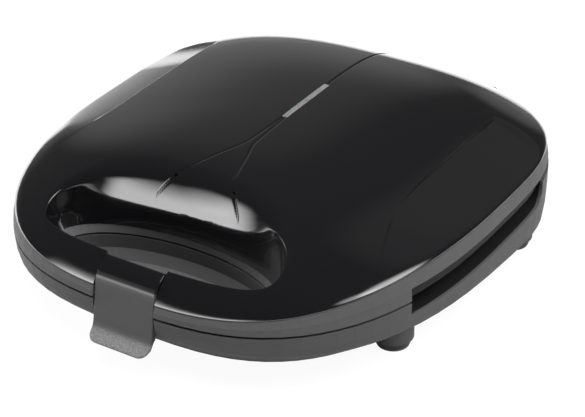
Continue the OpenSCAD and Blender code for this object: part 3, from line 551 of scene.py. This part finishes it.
def scoop_rows(turn):
    """The scoop from the dome over its soft lip down to its lower edge; rows by columns of x, y, z."""
    # the height at which the wall leaves the dome, by halving
    low, high = np.full_like(turn, LOWEST_LIP), np.full_like(turn, CROWN)
    for _ in range(40):
        middle = (low + high) / 2
        p = well_wall(turn, middle)
        above = dome(p[:, 0], p[:, 1]) > middle
        low, high = np.where(above, middle, low), np.where(above, high, middle)
    rim = well_wall(turn, low)
    along = np.roll(rim, -1, 0) - np.roll(rim, 1, 0)
    out = np.stack([along[:, 1], -along[:, 0]], -1)
    out /= np.linalg.norm(out, axis=1, keepdims=True)
    # 0 in front, 1 at the back
    behind = soft_step((np.sin(turn) + 0.25) / 1.1)
    start = rim.copy()
    start[:, :2] += (LIP_WIDTH + LIP_WIDENS * behind)[:, None] * out
    start[:, 2] = dome(start[:, 0], start[:, 1])
    end_z = low - LIP_DROP - LIP_DEEPENS * behind
    # the lip's curve meets the wall without a kink
    rise = well_wall(turn, end_z + 0.5) - well_wall(turn, end_z - 0.5)
    end = well_wall(turn, end_z)
    bend = end + rise * (low - end_z)[:, None]
    rows = [(1 - t) ** 2 * start + 2 * t * (1 - t) * bend + t * t * end for t in np.linspace(0, 1, LIP_ROWS)]
    for t in np.linspace(0, 1, WALL_ROWS)[1:]:
        lap = SCOOP_LAP * soft_step((t - 0.6) / 0.3)
        rows.append(well_wall(turn, end_z + (WELL_BOTTOM - end_z) * t, -lap))
    return np.array(rows)


def grid_normals(rows):
    """Outward normals of a band of rows, which close on themselves sideways."""
    down = np.gradient(rows, axis=0)
    along = np.roll(rows, -1, 1) - np.roll(rows, 1, 1)
    n = np.cross(along, down)
    return n / np.linalg.norm(n, axis=2, keepdims=True)


def scoop_crease_line(rows, side):
    """The points of the scoop's rows that one wishbone crease passes, and its share of the depth there."""
    along, across, shares = np.array(SCOOP_CREASE).T
    line, depth = [], []
    for row in rows:
        out = row[:, 0] * side
        behind = np.where((row[:, 1] > WELL_Y + 10) & (out > CREASE_SPAN[0]) & (out < CREASE_SPAN[1]))[0]
        wanted = np.interp(row[behind, 1], along, across)
        i = behind[np.argmin(np.abs(out[behind] - wanted))]
        if row[i, 1] > along[0]:
            line.append(row[i])
            depth.append(np.interp(row[i, 1], along, shares))
    return np.array(line), np.array(depth)


def crease_scoop(rows):
    """Lets the wishbone creases run out down the scoop."""
    normals = grid_normals(rows)
    for side in (-1, 1):
        line, depth = scoop_crease_line(rows, side)
        best = np.full(rows.shape[:2], 1e9)
        share = np.zeros(rows.shape[:2])
        for a, b, da, db in zip(line[:-1], line[1:], depth[:-1], depth[1:]):
            ab = b - a
            t = np.clip(((rows - a) @ ab) / (ab @ ab), 0, 1)
            gap = np.linalg.norm(rows - a - t[..., None] * ab, axis=2)
            nearer = gap < best
            best, share = np.where(nearer, gap, best), np.where(nearer, da + (db - da) * t, share)
        # narrower where it is shallower
        half = CREASE_HALF * (0.4 + 0.6 * share)
        cut = CREASE_DEPTH * share * soft_positive(1 - best / half, 0.2)
        rows = rows - cut[..., None] * normals
    return rows


def rim_rows(turn):
    """The cover's rounded lower edge, from the dome down and under; rows by columns of x, y, z."""
    rows = []
    for lean in np.linspace(0, math.pi / 2, RIM_ROWS):
        p = plan(turn, LEAN + RIM_REACH * (1 - math.sin(lean)))
        rows.append(np.column_stack([p, top(p[:, 0], p[:, 1]) - RIM_DROP * (1 - math.cos(lean))]))
    for lean in np.linspace(0, math.pi / 2, CURL_ROWS)[1:]:
        p = plan(turn, LEAN + CURL * (1 - math.cos(lean)))
        edge = plan(turn, LEAN)
        rows.append(np.column_stack([p, top(edge[:, 0], edge[:, 1]) - RIM_DROP - CURL_DROP * math.sin(lean)]))
    return np.array(rows)


def inside_loop(x, y, loop):
    """Whether points lie inside a closed polygon."""
    hit = np.zeros(np.shape(x), bool)
    for (ax, ay), (bx, by) in zip(loop, np.roll(loop, -1, 0)):
        if ay != by:
            hit ^= ((ay > y) != (by > y)) & (x < (bx - ax) * (y - ay) / (by - ay) + ax)
    return hit


def fill_between(outer, inner, extra):
    """Triangles over the ground between two loops; returns the points, loops first, and the faces."""
    count = len(outer) + len(inner)
    points = np.vstack([outer, inner, extra]) if len(extra) else np.vstack([outer, inner])
    edges = [(i, (i + 1) % len(outer)) for i in range(len(outer))]
    edges += [(len(outer) + i, len(outer) + (i + 1) % len(inner)) for i in range(len(inner))]
    made = delaunay_2d_cdt([Vector(p) for p in points], edges, [], 0, 1e-7, True)
    assert len(made[0]) == len(points), "the cover's net has merged points"
    order = np.array([ids[0] for ids in made[3]])
    faces = order[np.array(made[2])]
    middle = points[faces].mean(1)
    keep = inside_loop(middle[:, 0], middle[:, 1], outer) & ~inside_loop(middle[:, 0], middle[:, 1], inner)
    return points, faces[keep]


# distances from the middle of a crease, and from a facet's inner edge, of the rows of points along it
CREASE_ROWS = (-1.1, -0.75, -0.5, -0.25, 0, 0.25, 0.5, 0.75, 1.1)
FACET_ROWS = (-0.5, -0.1, 0.13, 0.32, 0.5, 0.7, 0.9, 1.2, 1.6, 2.1)


def rows_beside(line, gaps):
    """Points in rows at those distances to the left of a line."""
    along = np.gradient(line, axis=0)
    left = np.stack([-along[:, 1], along[:, 0]], -1)
    left /= np.linalg.norm(left, axis=1, keepdims=True)
    return np.vstack([line + gap * left for gap in gaps])


def dense_rows():
    """Points in rows along the creases and the facets' inner edges, where the cover bends sharply."""
    creases, facets = rows_beside(CREASE, CREASE_ROWS), rows_beside(FACET_EDGE, FACET_ROWS)
    creases = np.vstack([creases, creases * (-1, 1)])
    # the two creases' rows would cross where they start side by side
    creases = creases[~((np.abs(creases[:, 0]) < 0.2) & (creases[:, 1] > 4))]
    back = rows_beside(even_line(BACK_CREASE + [(0, 0.6), (0, 0)], 1.2), CREASE_ROWS)
    return np.vstack([creases, back, facets, facets * (-1, 1)])


def thin_out(points, keep_off, gap):
    """Points that are further than the gap from all of the points to keep off."""
    tree = KDTree(len(keep_off))
    for i, p in enumerate(keep_off):
        tree.insert((p[0], p[1], 0), i)
    tree.balance()
    return np.array([p for p in points if tree.find((p[0], p[1], 0))[2] > gap])


def spread_out(points, gap):
    """The points without those that crowd an earlier one."""
    kept, cells = [], {}
    for p in points:
        cell = (int(p[0] // gap), int(p[1] // gap))
        near = [(cell[0] + i, cell[1] + j) for i in (-1, 0, 1) for j in (-1, 0, 1)]
        around = [q for place in near for q in cells.get(place, ())]
        if all((p[0] - q[0]) ** 2 + (p[1] - q[1]) ** 2 > gap * gap for q in around):
            cells.setdefault(cell, []).append(p)
            kept.append(p)
    return np.array(kept)


def solid(name, points, faces, tag=0):
    """A mesh object in metres from points in millimetres; its faces' tag is 0 for outsides, 1 for cuts."""
    mesh = bpy.data.meshes.new(name)
    mesh.from_pydata((np.asarray(points) * MM).tolist(), [], [list(map(int, f)) for f in faces])
    for _ in range(2):
        mesh.materials.append(None)
    mesh.polygons.foreach_set("material_index", [tag] * len(mesh.polygons))
    made = bpy.data.objects.new(name, mesh)
    bpy.context.scene.collection.objects.link(made)
    return made


def band_faces(rows, columns, first, flip):
    """Triangles over a band of rows of points that closes on itself sideways."""
    faces = []
    for j in range(rows - 1):
        for i in range(columns):
            a, b = first + j * columns + i, first + j * columns + (i + 1) % columns
            c, d = a + columns, b + columns
            faces += [(a, b, d), (a, d, c)] if flip else [(a, d, b), (a, c, d)]
    return faces


def tower(name, rings, tag=1):
    """A closed solid over rings of points, counter-clockwise from above and from the lowest up."""
    count = len(rings[0])
    faces = band_faces(len(rings), count, 0, True)
    for level, first in ((0, 0), (-1, (len(rings) - 1) * count)):
        ring = rings[level]
        middle, facing = ring.mean(0), np.cross(ring, np.roll(ring, -1, 0)).sum(0)
        for a, b, c in tessellate_polygon([[Vector(p - middle) for p in ring]]):
            up = np.cross(ring[b] - ring[a], ring[c] - ring[a]) @ facing > 0
            faces.append(tuple(first + i for i in ((a, b, c) if up == (level == -1) else (a, c, b))))
    return solid(name, np.vstack(rings), faces, tag)


def brick(name, low, high):
    """A box between two corners."""
    corners = [[(low, high)[i][0], (low, high)[j][1]] for i, j in ((0, 0), (1, 0), (1, 1), (0, 1))]
    return tower(name, [np.array([[x, y, z] for x, y in corners]) for z in (low[2], high[2])])


def rod(name, start, end, radius, sides=32):
    """A round bar between two points."""
    start, end = np.array(start, float), np.array(end, float)
    along = (end - start) / np.linalg.norm(end - start)
    one = np.cross(along, (0.0, 0.0, 1.0) if abs(along[2]) < 0.9 else (0.0, 1.0, 0.0))
    one /= np.linalg.norm(one)
    two = np.cross(along, one)
    turn = np.linspace(0, 2 * np.pi, sides, endpoint=False)[:, None]
    return tower(name, [p + radius * (np.cos(turn) * one + np.sin(turn) * two) for p in (start, end)])


def carve(body, tools, way="DIFFERENCE"):
    """Cuts tools out of a body, or joins them to it, and clears them away."""
    for tool in tools:
        change = body.modifiers.new("carve", "BOOLEAN")
        change.solver, change.operation, change.object = "MANIFOLD", way, tool
    depsgraph = bpy.context.evaluated_depsgraph_get()
    result = bpy.data.meshes.new_from_object(body.evaluated_get(depsgraph))
    body.modifiers.clear()
    body.data = result
    for tool in tools:
        bpy.data.objects.remove(tool)
    return body


def round_trip(count):
    """Angles at even steps once round."""
    return np.linspace(0, 2 * np.pi, count, endpoint=False)


# the cover's net: rings (inset from the outline, number of points), and inside them a grid
NET_RINGS = ((6.7, 560), (7.8, 500), (9.2, 430), (11.1, 370), (13.3, 330), (15.8, 300), (18.6, 260),
             (21.6, 240))
GRID_STEP, GRID_INSET, GRID_HALF, GRID_MARGIN = 2.3, 23.4, 92, 22
# how close its points may come to the rows along the bends, to each other, and to the rim and the scoop
OFF_BENDS, OFF_EACH_OTHER, OFF_EDGES = 0.9, 0.16, 0.55


def top_net(outer, inner):
    """The cover's top between the rim and the scoop, seen from above; returns its points and its faces."""
    bends = dense_rows()
    rings = np.vstack([plan(round_trip(count), inset) for inset, count in NET_RINGS])
    gx, gy = np.meshgrid(np.arange(-GRID_HALF, GRID_HALF + 0.1, GRID_STEP),
                         np.arange(FRONT + GRID_MARGIN, REAR - GRID_MARGIN, GRID_STEP))
    grid = np.stack([gx.ravel(), gy.ravel()], -1)
    # four corners of an exact square can be joined in two ways
    grid[::2] += (0, 0.01)
    grid = grid[inside_loop(grid[:, 0], grid[:, 1], plan(round_trip(AROUND), GRID_INSET))]
    even = thin_out(np.vstack([rings, grid]), bends, OFF_BENDS)
    extra = spread_out(np.vstack([bends, even]), OFF_EACH_OTHER)
    within = inside_loop(extra[:, 0], extra[:, 1], outer) & ~inside_loop(extra[:, 0], extra[:, 1], inner)
    extra = thin_out(extra[within], np.vstack([outer, inner]), OFF_EDGES)
    return fill_between(outer, inner, extra)


def make_cover():
    """The lid cover, still filled in; also the points, faces and exact normals of its outside."""
    close = np.radians(CLOSE_ANGLES)
    spaced = [a for a in round_trip(SCOOP_AROUND) if np.abs(close - a).min() > 0.006]
    scoop_turn = np.sort(np.r_[spaced, close])
    rim, scoop = rim_rows(round_trip(AROUND)), crease_scoop(scoop_rows(scoop_turn))
    outer, inner = rim[0][:, :2], scoop[0][:, :2]
    ground, top_faces = top_net(outer, inner)

    points = np.column_stack([ground, top(ground[:, 0], ground[:, 1])])
    points[:len(outer)] = rim[0]
    points[len(outer):len(outer) + len(inner)] = scoop[0]
    normals = top_normals(ground[:, 0], ground[:, 1])
    faces = [tuple(f) for f in top_faces]
    rim_first = len(points)
    rim_out = -grid_normals(rim)
    points = np.vstack([points, rim[1:].reshape(-1, 3)])
    normals = np.vstack([normals, rim_out[1:].reshape(-1, 3)])
    ring = np.arange(len(outer))
    faces += band_between(ring, rim_first + ring)
    faces += band_faces(len(rim) - 1, len(outer), rim_first, False)
    scoop_first = len(points)
    points = np.vstack([points, scoop[1:].reshape(-1, 3)])
    normals = np.vstack([normals, grid_normals(scoop)[1:].reshape(-1, 3)])
    hoop = np.arange(len(inner))
    faces += band_between(hoop + scoop_first, hoop + len(outer))
    faces += band_faces(len(scoop) - 1, len(inner), scoop_first, True)

    # the floor of the solid, which is cut away again
    low_outer = rim_first + (len(rim) - 2) * len(outer) + ring
    low_inner = scoop_first + (len(scoop) - 2) * len(inner) + hoop
    _, floor = fill_between(points[low_outer][:, :2], points[low_inner][:, :2], np.zeros((0, 2)))
    both = np.r_[low_outer, low_inner]
    seen = len(faces)
    faces += [tuple(both[list(f[::-1])]) for f in floor]
    cover = solid("glossy lid cover", points, faces)
    tags = [0] * seen + [1] * len(floor)
    cover.data.polygons.foreach_set("material_index", tags)
    return cover, points, np.array(faces[:seen]), normals


def band_between(upper, lower):
    """Triangles between two rings of equally many points."""
    faces = []
    for i in range(len(upper)):
        j = (i + 1) % len(upper)
        faces += [(upper[i], lower[i], lower[j]), (upper[i], lower[j], upper[j])]
    return faces


# heights below and above all of the cover, for what is cut, and above the hollow, for what stands in it
BELOW, ABOVE, OVER_HOLLOW = 20.0, 90.0, 80.0
# where the hollow has its rings, as shares of the way to the wall, and how much thicker than WALL, measured
# straight down, the cover is everywhere and where it is steep; the heights of the rings of the well's wall
HOLLOW_RINGS, THICKER, STEEP_THICKER = (1.0, 0.97, 0.93, 0.88, 0.8, 0.7, 0.55, 0.35, 0.15), 0.2, 1.4
WELL_RINGS = (19.0, 31.0, 36.0, 41.0, 46.0, 51.0, 56.0, 70.0)
# the screw posts' foot and radius, and the radius, start and end of the hole in them
POST_FOOT, POST_RADIUS, HOLE_RADIUS, HOLE_START, HOLE_END = 36.2, 3.5, 1.52, 30.0, 42.9
# the lens carrier's pegs: distance from the lenses' middle, foot and radius
PEG_AWAY, PEG_FOOT, PEG_RADIUS = 22.2, 58.0, 1.5
# the blocks beside the notch that hold the latch's pin: near side, far side, rear side and foot
BLOCK_NEAR, BLOCK_FAR, BLOCK_REAR, BLOCK_FOOT = 15.5, 22.0, -108.0, 36.0


def carve_cover(cover):
    """Hollows the cover out round its posts, pegs and blocks, and cuts its notch, slot and holes."""
    hull = plan(round_trip(240), LEAN + WALL)
    rings = [np.column_stack([hull, np.full(len(hull), BELOW)])]
    for r in HOLLOW_RINGS:
        x, y = r * hull[:, 0], WIDEST + r * (hull[:, 1] - WIDEST)
        drop = WALL + THICKER + STEEP_THICKER * soft_step((r - 0.8) / 0.2)
        rings.append(np.column_stack([x, y, dome(x, y) - facet_cut(x, y) - drop]))
    hollow = tower("hollow", rings)
    around = round_trip(160)
    kept = [tower("well wall", [well_wall(around, z, WALL) for z in WELL_RINGS])]
    kept += [rod("screw post", (x, y, POST_FOOT), (x, y, OVER_HOLLOW), POST_RADIUS) for x, y in COVER_SCREWS]
    kept += [rod("carrier peg", (0, y, PEG_FOOT), (0, y, OVER_HOLLOW), PEG_RADIUS)
             for y in (LENS_Y - PEG_AWAY, LENS_Y + PEG_AWAY)]
    kept += [brick("pin block", (left, FRONT, BLOCK_FOOT), (right, BLOCK_REAR, OVER_HOLLOW))
             for left, right in ((-BLOCK_FAR, -BLOCK_NEAR), (BLOCK_NEAR, BLOCK_FAR))]
    carve(hollow, kept)
    tools = [hollow, brick("notch", (-NOTCH_HALF, NOTCH_FRONT, 0), (NOTCH_HALF, NOTCH_REAR, ABOVE)),
             brick("lens slot", (-SLOT_HALF, SLOT_FRONT, 60), (SLOT_HALF, SLOT_REAR, ABOVE)),
             rod("pin hole", (-BLOCK_FAR, *LATCH_AXIS), (BLOCK_FAR, *LATCH_AXIS), HOLE_RADIUS)]
    tools += [rod("screw hole", (x, y, HOLE_START), (x, y, HOLE_END), HOLE_RADIUS) for x, y in COVER_SCREWS]
    return carve(cover, tools)


def shade_cover(cover, points, faces, normals):
    """Gives the cover the exact normals of its outside, and flat ones where it is cut."""
    tree = BVHTree.FromPolygons((points * MM).tolist(), faces.tolist())
    mesh = cover.data
    corner_normals = np.zeros((len(mesh.loops), 3))
    known = {}
    for face in mesh.polygons:
        outside = face.material_index == 0
        for corner in face.loop_indices:
            if not outside:
                corner_normals[corner] = face.normal
                continue
            vertex = mesh.loops[corner].vertex_index
            if vertex not in known:
                spot, _, index, _ = tree.find_nearest(mesh.vertices[vertex].co)
                a, b, c = faces[index]
                share = barycentric_transform(spot, *(Vector(points[k] * MM) for k in (a, b, c)),
                                              Vector((1, 0, 0)), Vector((0, 1, 0)), Vector((0, 0, 1)))
                known[vertex] = share[0] * normals[a] + share[1] * normals[b] + share[2] * normals[c]
            corner_normals[corner] = known[vertex]
    mesh.shade_smooth()
    mesh.normals_split_custom_set(corner_normals.tolist())
    return cover


def coat(piece, finish):
    """Gives all faces of a piece one finish."""
    piece.data.materials.clear()
    piece.data.materials.append(finish)
    piece.data.polygons.foreach_set("material_index", [0] * len(piece.data.polygons))


glossy_cover, *outside = make_cover()
carve_cover(glossy_cover)
shade_cover(glossy_cover, *outside)
coat(glossy_cover, cover_finish)
glossy_cover.name = "glossy_lid_cover"
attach(glossy_cover, "lid")
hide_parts("lid_cover")


# ---------- latch ----------

# the latch's side view in millimetres, y and z, counter-clockwise seen from +X, without its round head
LATCH_SIDE = [(-110.4, 40.8), (-110.4, 46.3), (-110.9, 47.1), (-112.2, 47.1), (-115.4, 45.2), (-118, 43.0),
              (-119.8, 40.7), (-120.7, 38.2), (-121.9, 31), (-124.3, 19.4), (-125.1, 17.3), (-126.6, 15.9),
              (-130.4, 13.4), (-130.3, 12.3), (-129.5, 12.0), (-124.7, 14.7), (-122.4, 17.6), (-120.9, 18.4),
              (-120.9, 20.1), (-121.6, 20.8), (-119.5, 31), (-118.6, 35.0)]
# radii of the round head, over the angles (degrees) that it spans, and of the pin's bore
LATCH_HEAD, HEAD_ANGLES, LATCH_BORE = 5.0, (233, 361, 8.0), 1.56
# half of the clip's width, the radius of its side edges, where the thumb lip starts, and its corners' radius
LATCH_HALF, LATCH_EDGE, LIP_ROOT, LIP_CORNER = 16.0, 0.55, -125.0, 4.6


def latch_outline():
    """The side view with its bends rounded and the round head added."""
    turn = np.radians(np.arange(*HEAD_ANGLES))[:-1, None]
    head = np.array(LATCH_AXIS) + LATCH_HEAD * np.hstack([np.cos(turn), np.sin(turn)])
    return np.vstack([smooth_line(LATCH_SIDE, 0.35, 3), head])


def round_corner(past, radius):
    """How far an edge draws in, past mm beyond the start of a corner with that radius."""
    past = max(0.0, past)
    return radius - math.sqrt(max(0.0, radius ** 2 - past ** 2))


def latch_section(outline, out, x):
    """The latch's side view at x, drawn in at the side edges and, in the lip, for its round corners."""
    section = outline - round_corner(abs(x) - (LATCH_HALF - LATCH_EDGE), LATCH_EDGE) * out
    back = round_corner(abs(x) - (LATCH_HALF - LIP_CORNER), LIP_CORNER)
    reach = LIP_ROOT - section[:, 0].min()
    lip = section[:, 0] < LIP_ROOT
    share = np.linspace(0, 1, lip.sum())[:, None]
    first, last = section[lip][[0, -1]]
    root = first * (1 - share) + last * share
    section[lip] = root + (section[lip] - root) * max(1 - back / reach, 0.08)
    return np.column_stack([np.full(len(section), x), section])


def make_latch():
    """The latch clip: one section along its width, with rounded side edges and rounded lip corners."""
    outline = latch_outline()
    along = np.roll(outline, -1, 0) - np.roll(outline, 1, 0)
    out = np.stack([along[:, 1], -along[:, 0]], -1)
    out /= np.linalg.norm(out, axis=1, keepdims=True)
    half = [LATCH_HALF - LATCH_EDGE * (1 - math.sin(a)) for a in np.radians([90, 70, 45, 20, 0])]
    half += [LATCH_HALF - LIP_CORNER * (1 - math.sin(a)) for a in np.radians([60, 50, 40, 30, 15, 0])]
    made = tower("latch", [latch_section(outline, out, x) for x in [-h for h in half] + half[::-1]], 0)
    past = LATCH_HALF + 4
    carve(made, [rod("pin bore", (-past, *LATCH_AXIS), (past, *LATCH_AXIS), LATCH_BORE)])
    made.data.shade_smooth()
    made.data.set_sharp_from_angle(angle=math.radians(50))
    return made


latch = make_latch()
coat(latch, latch_finish)
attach(latch, "latch")
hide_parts("latch_clip")


# ---------- studio ----------


# soft rectangular lamps: name, place, the point it faces, width and height in metres, and watts
LAMPS = (
    ("front softbox", (-0.46, -1.52, 0.36), (-0.02, -0.08, 0.05), 2.9, 0.62, 1.2),
    ("right softbox", (0.98, 0.22, 1.12), (0, 0, 0.04), 0.9, 0.9, 32),
    ("left softbox", (-1.3, -0.1, 0.42), (0, 0, 0.04), 0.5, 0.5, 36),
    ("top softbox", (0.05, -0.2, 1.3), (0, 0, 0.04), 0.8, 0.8, 28),
)


def hang_lamp(name, spot, aim, width, height, power):
    """A rectangular lamp at a spot, facing a point; gloss shows the room instead of it."""
    lamp = bpy.data.lights.new(name, "AREA")
    lamp.shape, lamp.size, lamp.size_y, lamp.energy = "RECTANGLE", width, height, power
    stand = bpy.data.objects.new(name, lamp)
    stand.location = spot
    stand.rotation_euler = (Vector(aim) - Vector(spot)).to_track_quat("-Z", "Y").to_euler()
    stand.visible_glossy = False
    bpy.context.scene.collection.objects.link(stand)


# brightness of the room, how much brighter it is at the horizon, and up to which height
ROOM, HORIZON, HORIZON_TOP = 0.042, 0.08, 0.14
# what gloss shows of the room, as soft glows: azimuth from the front towards +X, elevation, inner and
# outer radius (degrees), strength
GLOWS = ((-143, 12, 5, 20, 0.24), (-170, 8, 3, 12, 0.16), (162, 44, 14, 26, 0.065), (104, 37, 6, 19, 4.6),
         (84, 42, 3, 13, 2.6), (-38, 20, 3, 14, 0.6))
# and one wide window in front: azimuth of its middle, half width and soft end (degrees), heights (as the
# direction's Z) up to which it is full and above which it is dark, strength
WINDOW = (-19, 33, 10, 0.16, 0.51, 4.7)
# the floor: side and height in metres, how much it glows of itself, and the share of that for white rays and
# for mirrored ones
FLOOR_SIZE, FLOOR_Z, FLOOR_GLOW, FLOOR_SEEN, FLOOR_MIRRORED = 6, -0.0003, 1.03, 0.92, 0.09


def light_room():
    """White for the camera; for gloss a dim room with glows and a window; plain and dim for the rest."""
    world = bpy.data.worlds.new("studio")
    bpy.context.scene.world = world
    p = Paint("studio", world)
    direction = p.node("ShaderNodeTexCoord", output="Generated")
    height = p.node("ShaderNodeSeparateXYZ", [direction], output=2)
    room = ROOM + (1.0 - height.ramp(0.0, HORIZON_TOP)) * HORIZON

    def near(azimuth, elevation, inner, outer, flat=False):
        """1 within the inner angle of a direction and 0 beyond the outer one; flat looks at azimuth alone."""
        a, e = math.radians(azimuth), math.radians(elevation)
        middle = (math.sin(a) * math.cos(e), -math.cos(a) * math.cos(e), math.sin(e))
        towards = p.node("ShaderNodeVectorMath", [direction, middle], output=1, operation="DOT_PRODUCT")
        if flat:
            towards = towards / (1.0 - height * height).math("SQRT")
        return towards.ramp(math.cos(math.radians(outer)), math.cos(math.radians(inner)))

    azimuth, half, soft, full, none, power = WINDOW
    glow = near(azimuth, 0, half - soft, half + soft, flat=True) * (1.0 - height.ramp(full, none)) * power
    for azimuth, elevation, inner, outer, power in GLOWS:
        glow = glow + near(azimuth, elevation, inner, outer) * power
    mirrored = p.node("ShaderNodeLightPath", output="Is Glossy Ray")
    seen = white_rays(p)
    p.set(Color=(1, 1, 1, 1), Strength=seen + (1.0 - seen) * (room + mirrored * glow))


def white_rays(p):
    """1 for rays from the camera and through clear pieces, which see the background white."""
    camera = p.node("ShaderNodeLightPath", output="Is Camera Ray")
    through = p.node("ShaderNodeLightPath", output="Is Transmission Ray")
    return camera.math("MAXIMUM", through)


def lay_floor():
    """A pale table top that reaches past the view."""
    bpy.ops.mesh.primitive_plane_add(size=FLOOR_SIZE, location=(0, 0, FLOOR_Z))
    floor = bpy.context.object
    floor.name = "table top"
    p = Paint("white table", Roughness=0.6)
    grain = p.noise(0.05, 4.0)
    finish = p.set(Base_Color=p.blend(grain, (0.6, 0.6, 0.6), (0.62, 0.62, 0.62)))
    glow = p.node("ShaderNodeEmission", {"Color": (1, 1, 1, 1), "Strength": FLOOR_GLOW})
    seen = white_rays(p)
    mirrored = p.node("ShaderNodeLightPath", output="Is Glossy Ray")
    surface = Varying(p, p.shader.outputs[0])
    mixed = p.node("ShaderNodeMixShader", [seen * FLOOR_SEEN + mirrored * FLOOR_MIRRORED, surface, glow])
    p.tree.links.new(mixed.socket, p.tree.nodes["Material Output"].inputs["Surface"])
    floor.data.materials.append(finish)
    floor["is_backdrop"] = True


for lamp in LAMPS:
    hang_lamp(*lamp)
light_room()
lay_floor()


# ---------- camera ----------


def set_camera():
    """The photograph's view, as found from the outline of the object."""
    azimuth, elevation, roll = math.radians(32.0), math.radians(31.9), math.radians(-0.6)
    distance, target = 0.8, Vector((0.0385, -0.0306, 0.031))
    focal_px, centre_px, image_px, sensor = 1726.4, (308.8, 235.0), (585, 417), 36
    back = Vector((math.sin(azimuth) * math.cos(elevation), -math.cos(azimuth) * math.cos(elevation),
                   math.sin(elevation)))
    right = Vector((math.cos(azimuth), math.sin(azimuth), 0))
    up = back.cross(right)
    across = math.cos(roll) * right + math.sin(roll) * up
    upward = -math.sin(roll) * right + math.cos(roll) * up
    data = bpy.data.cameras.new("camera")
    data.sensor_width, data.lens = sensor, focal_px / image_px[0] * sensor
    data.shift_x = 0.5 - centre_px[0] / image_px[0]
    data.shift_y = (centre_px[1] - image_px[1] / 2) / image_px[0]
    data.clip_start, data.clip_end = 0.01, 20
    camera = bpy.data.objects.new("camera", data)
    turn = Matrix((across, upward, back)).transposed().to_4x4()
    camera.matrix_world = Matrix.Translation(target + distance * back) @ turn
    bpy.context.scene.collection.objects.link(camera)
    bpy.context.scene.camera = camera


set_camera()
bpy.context.scene.view_settings.view_transform = "Standard"

size["finished"] = plain(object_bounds())
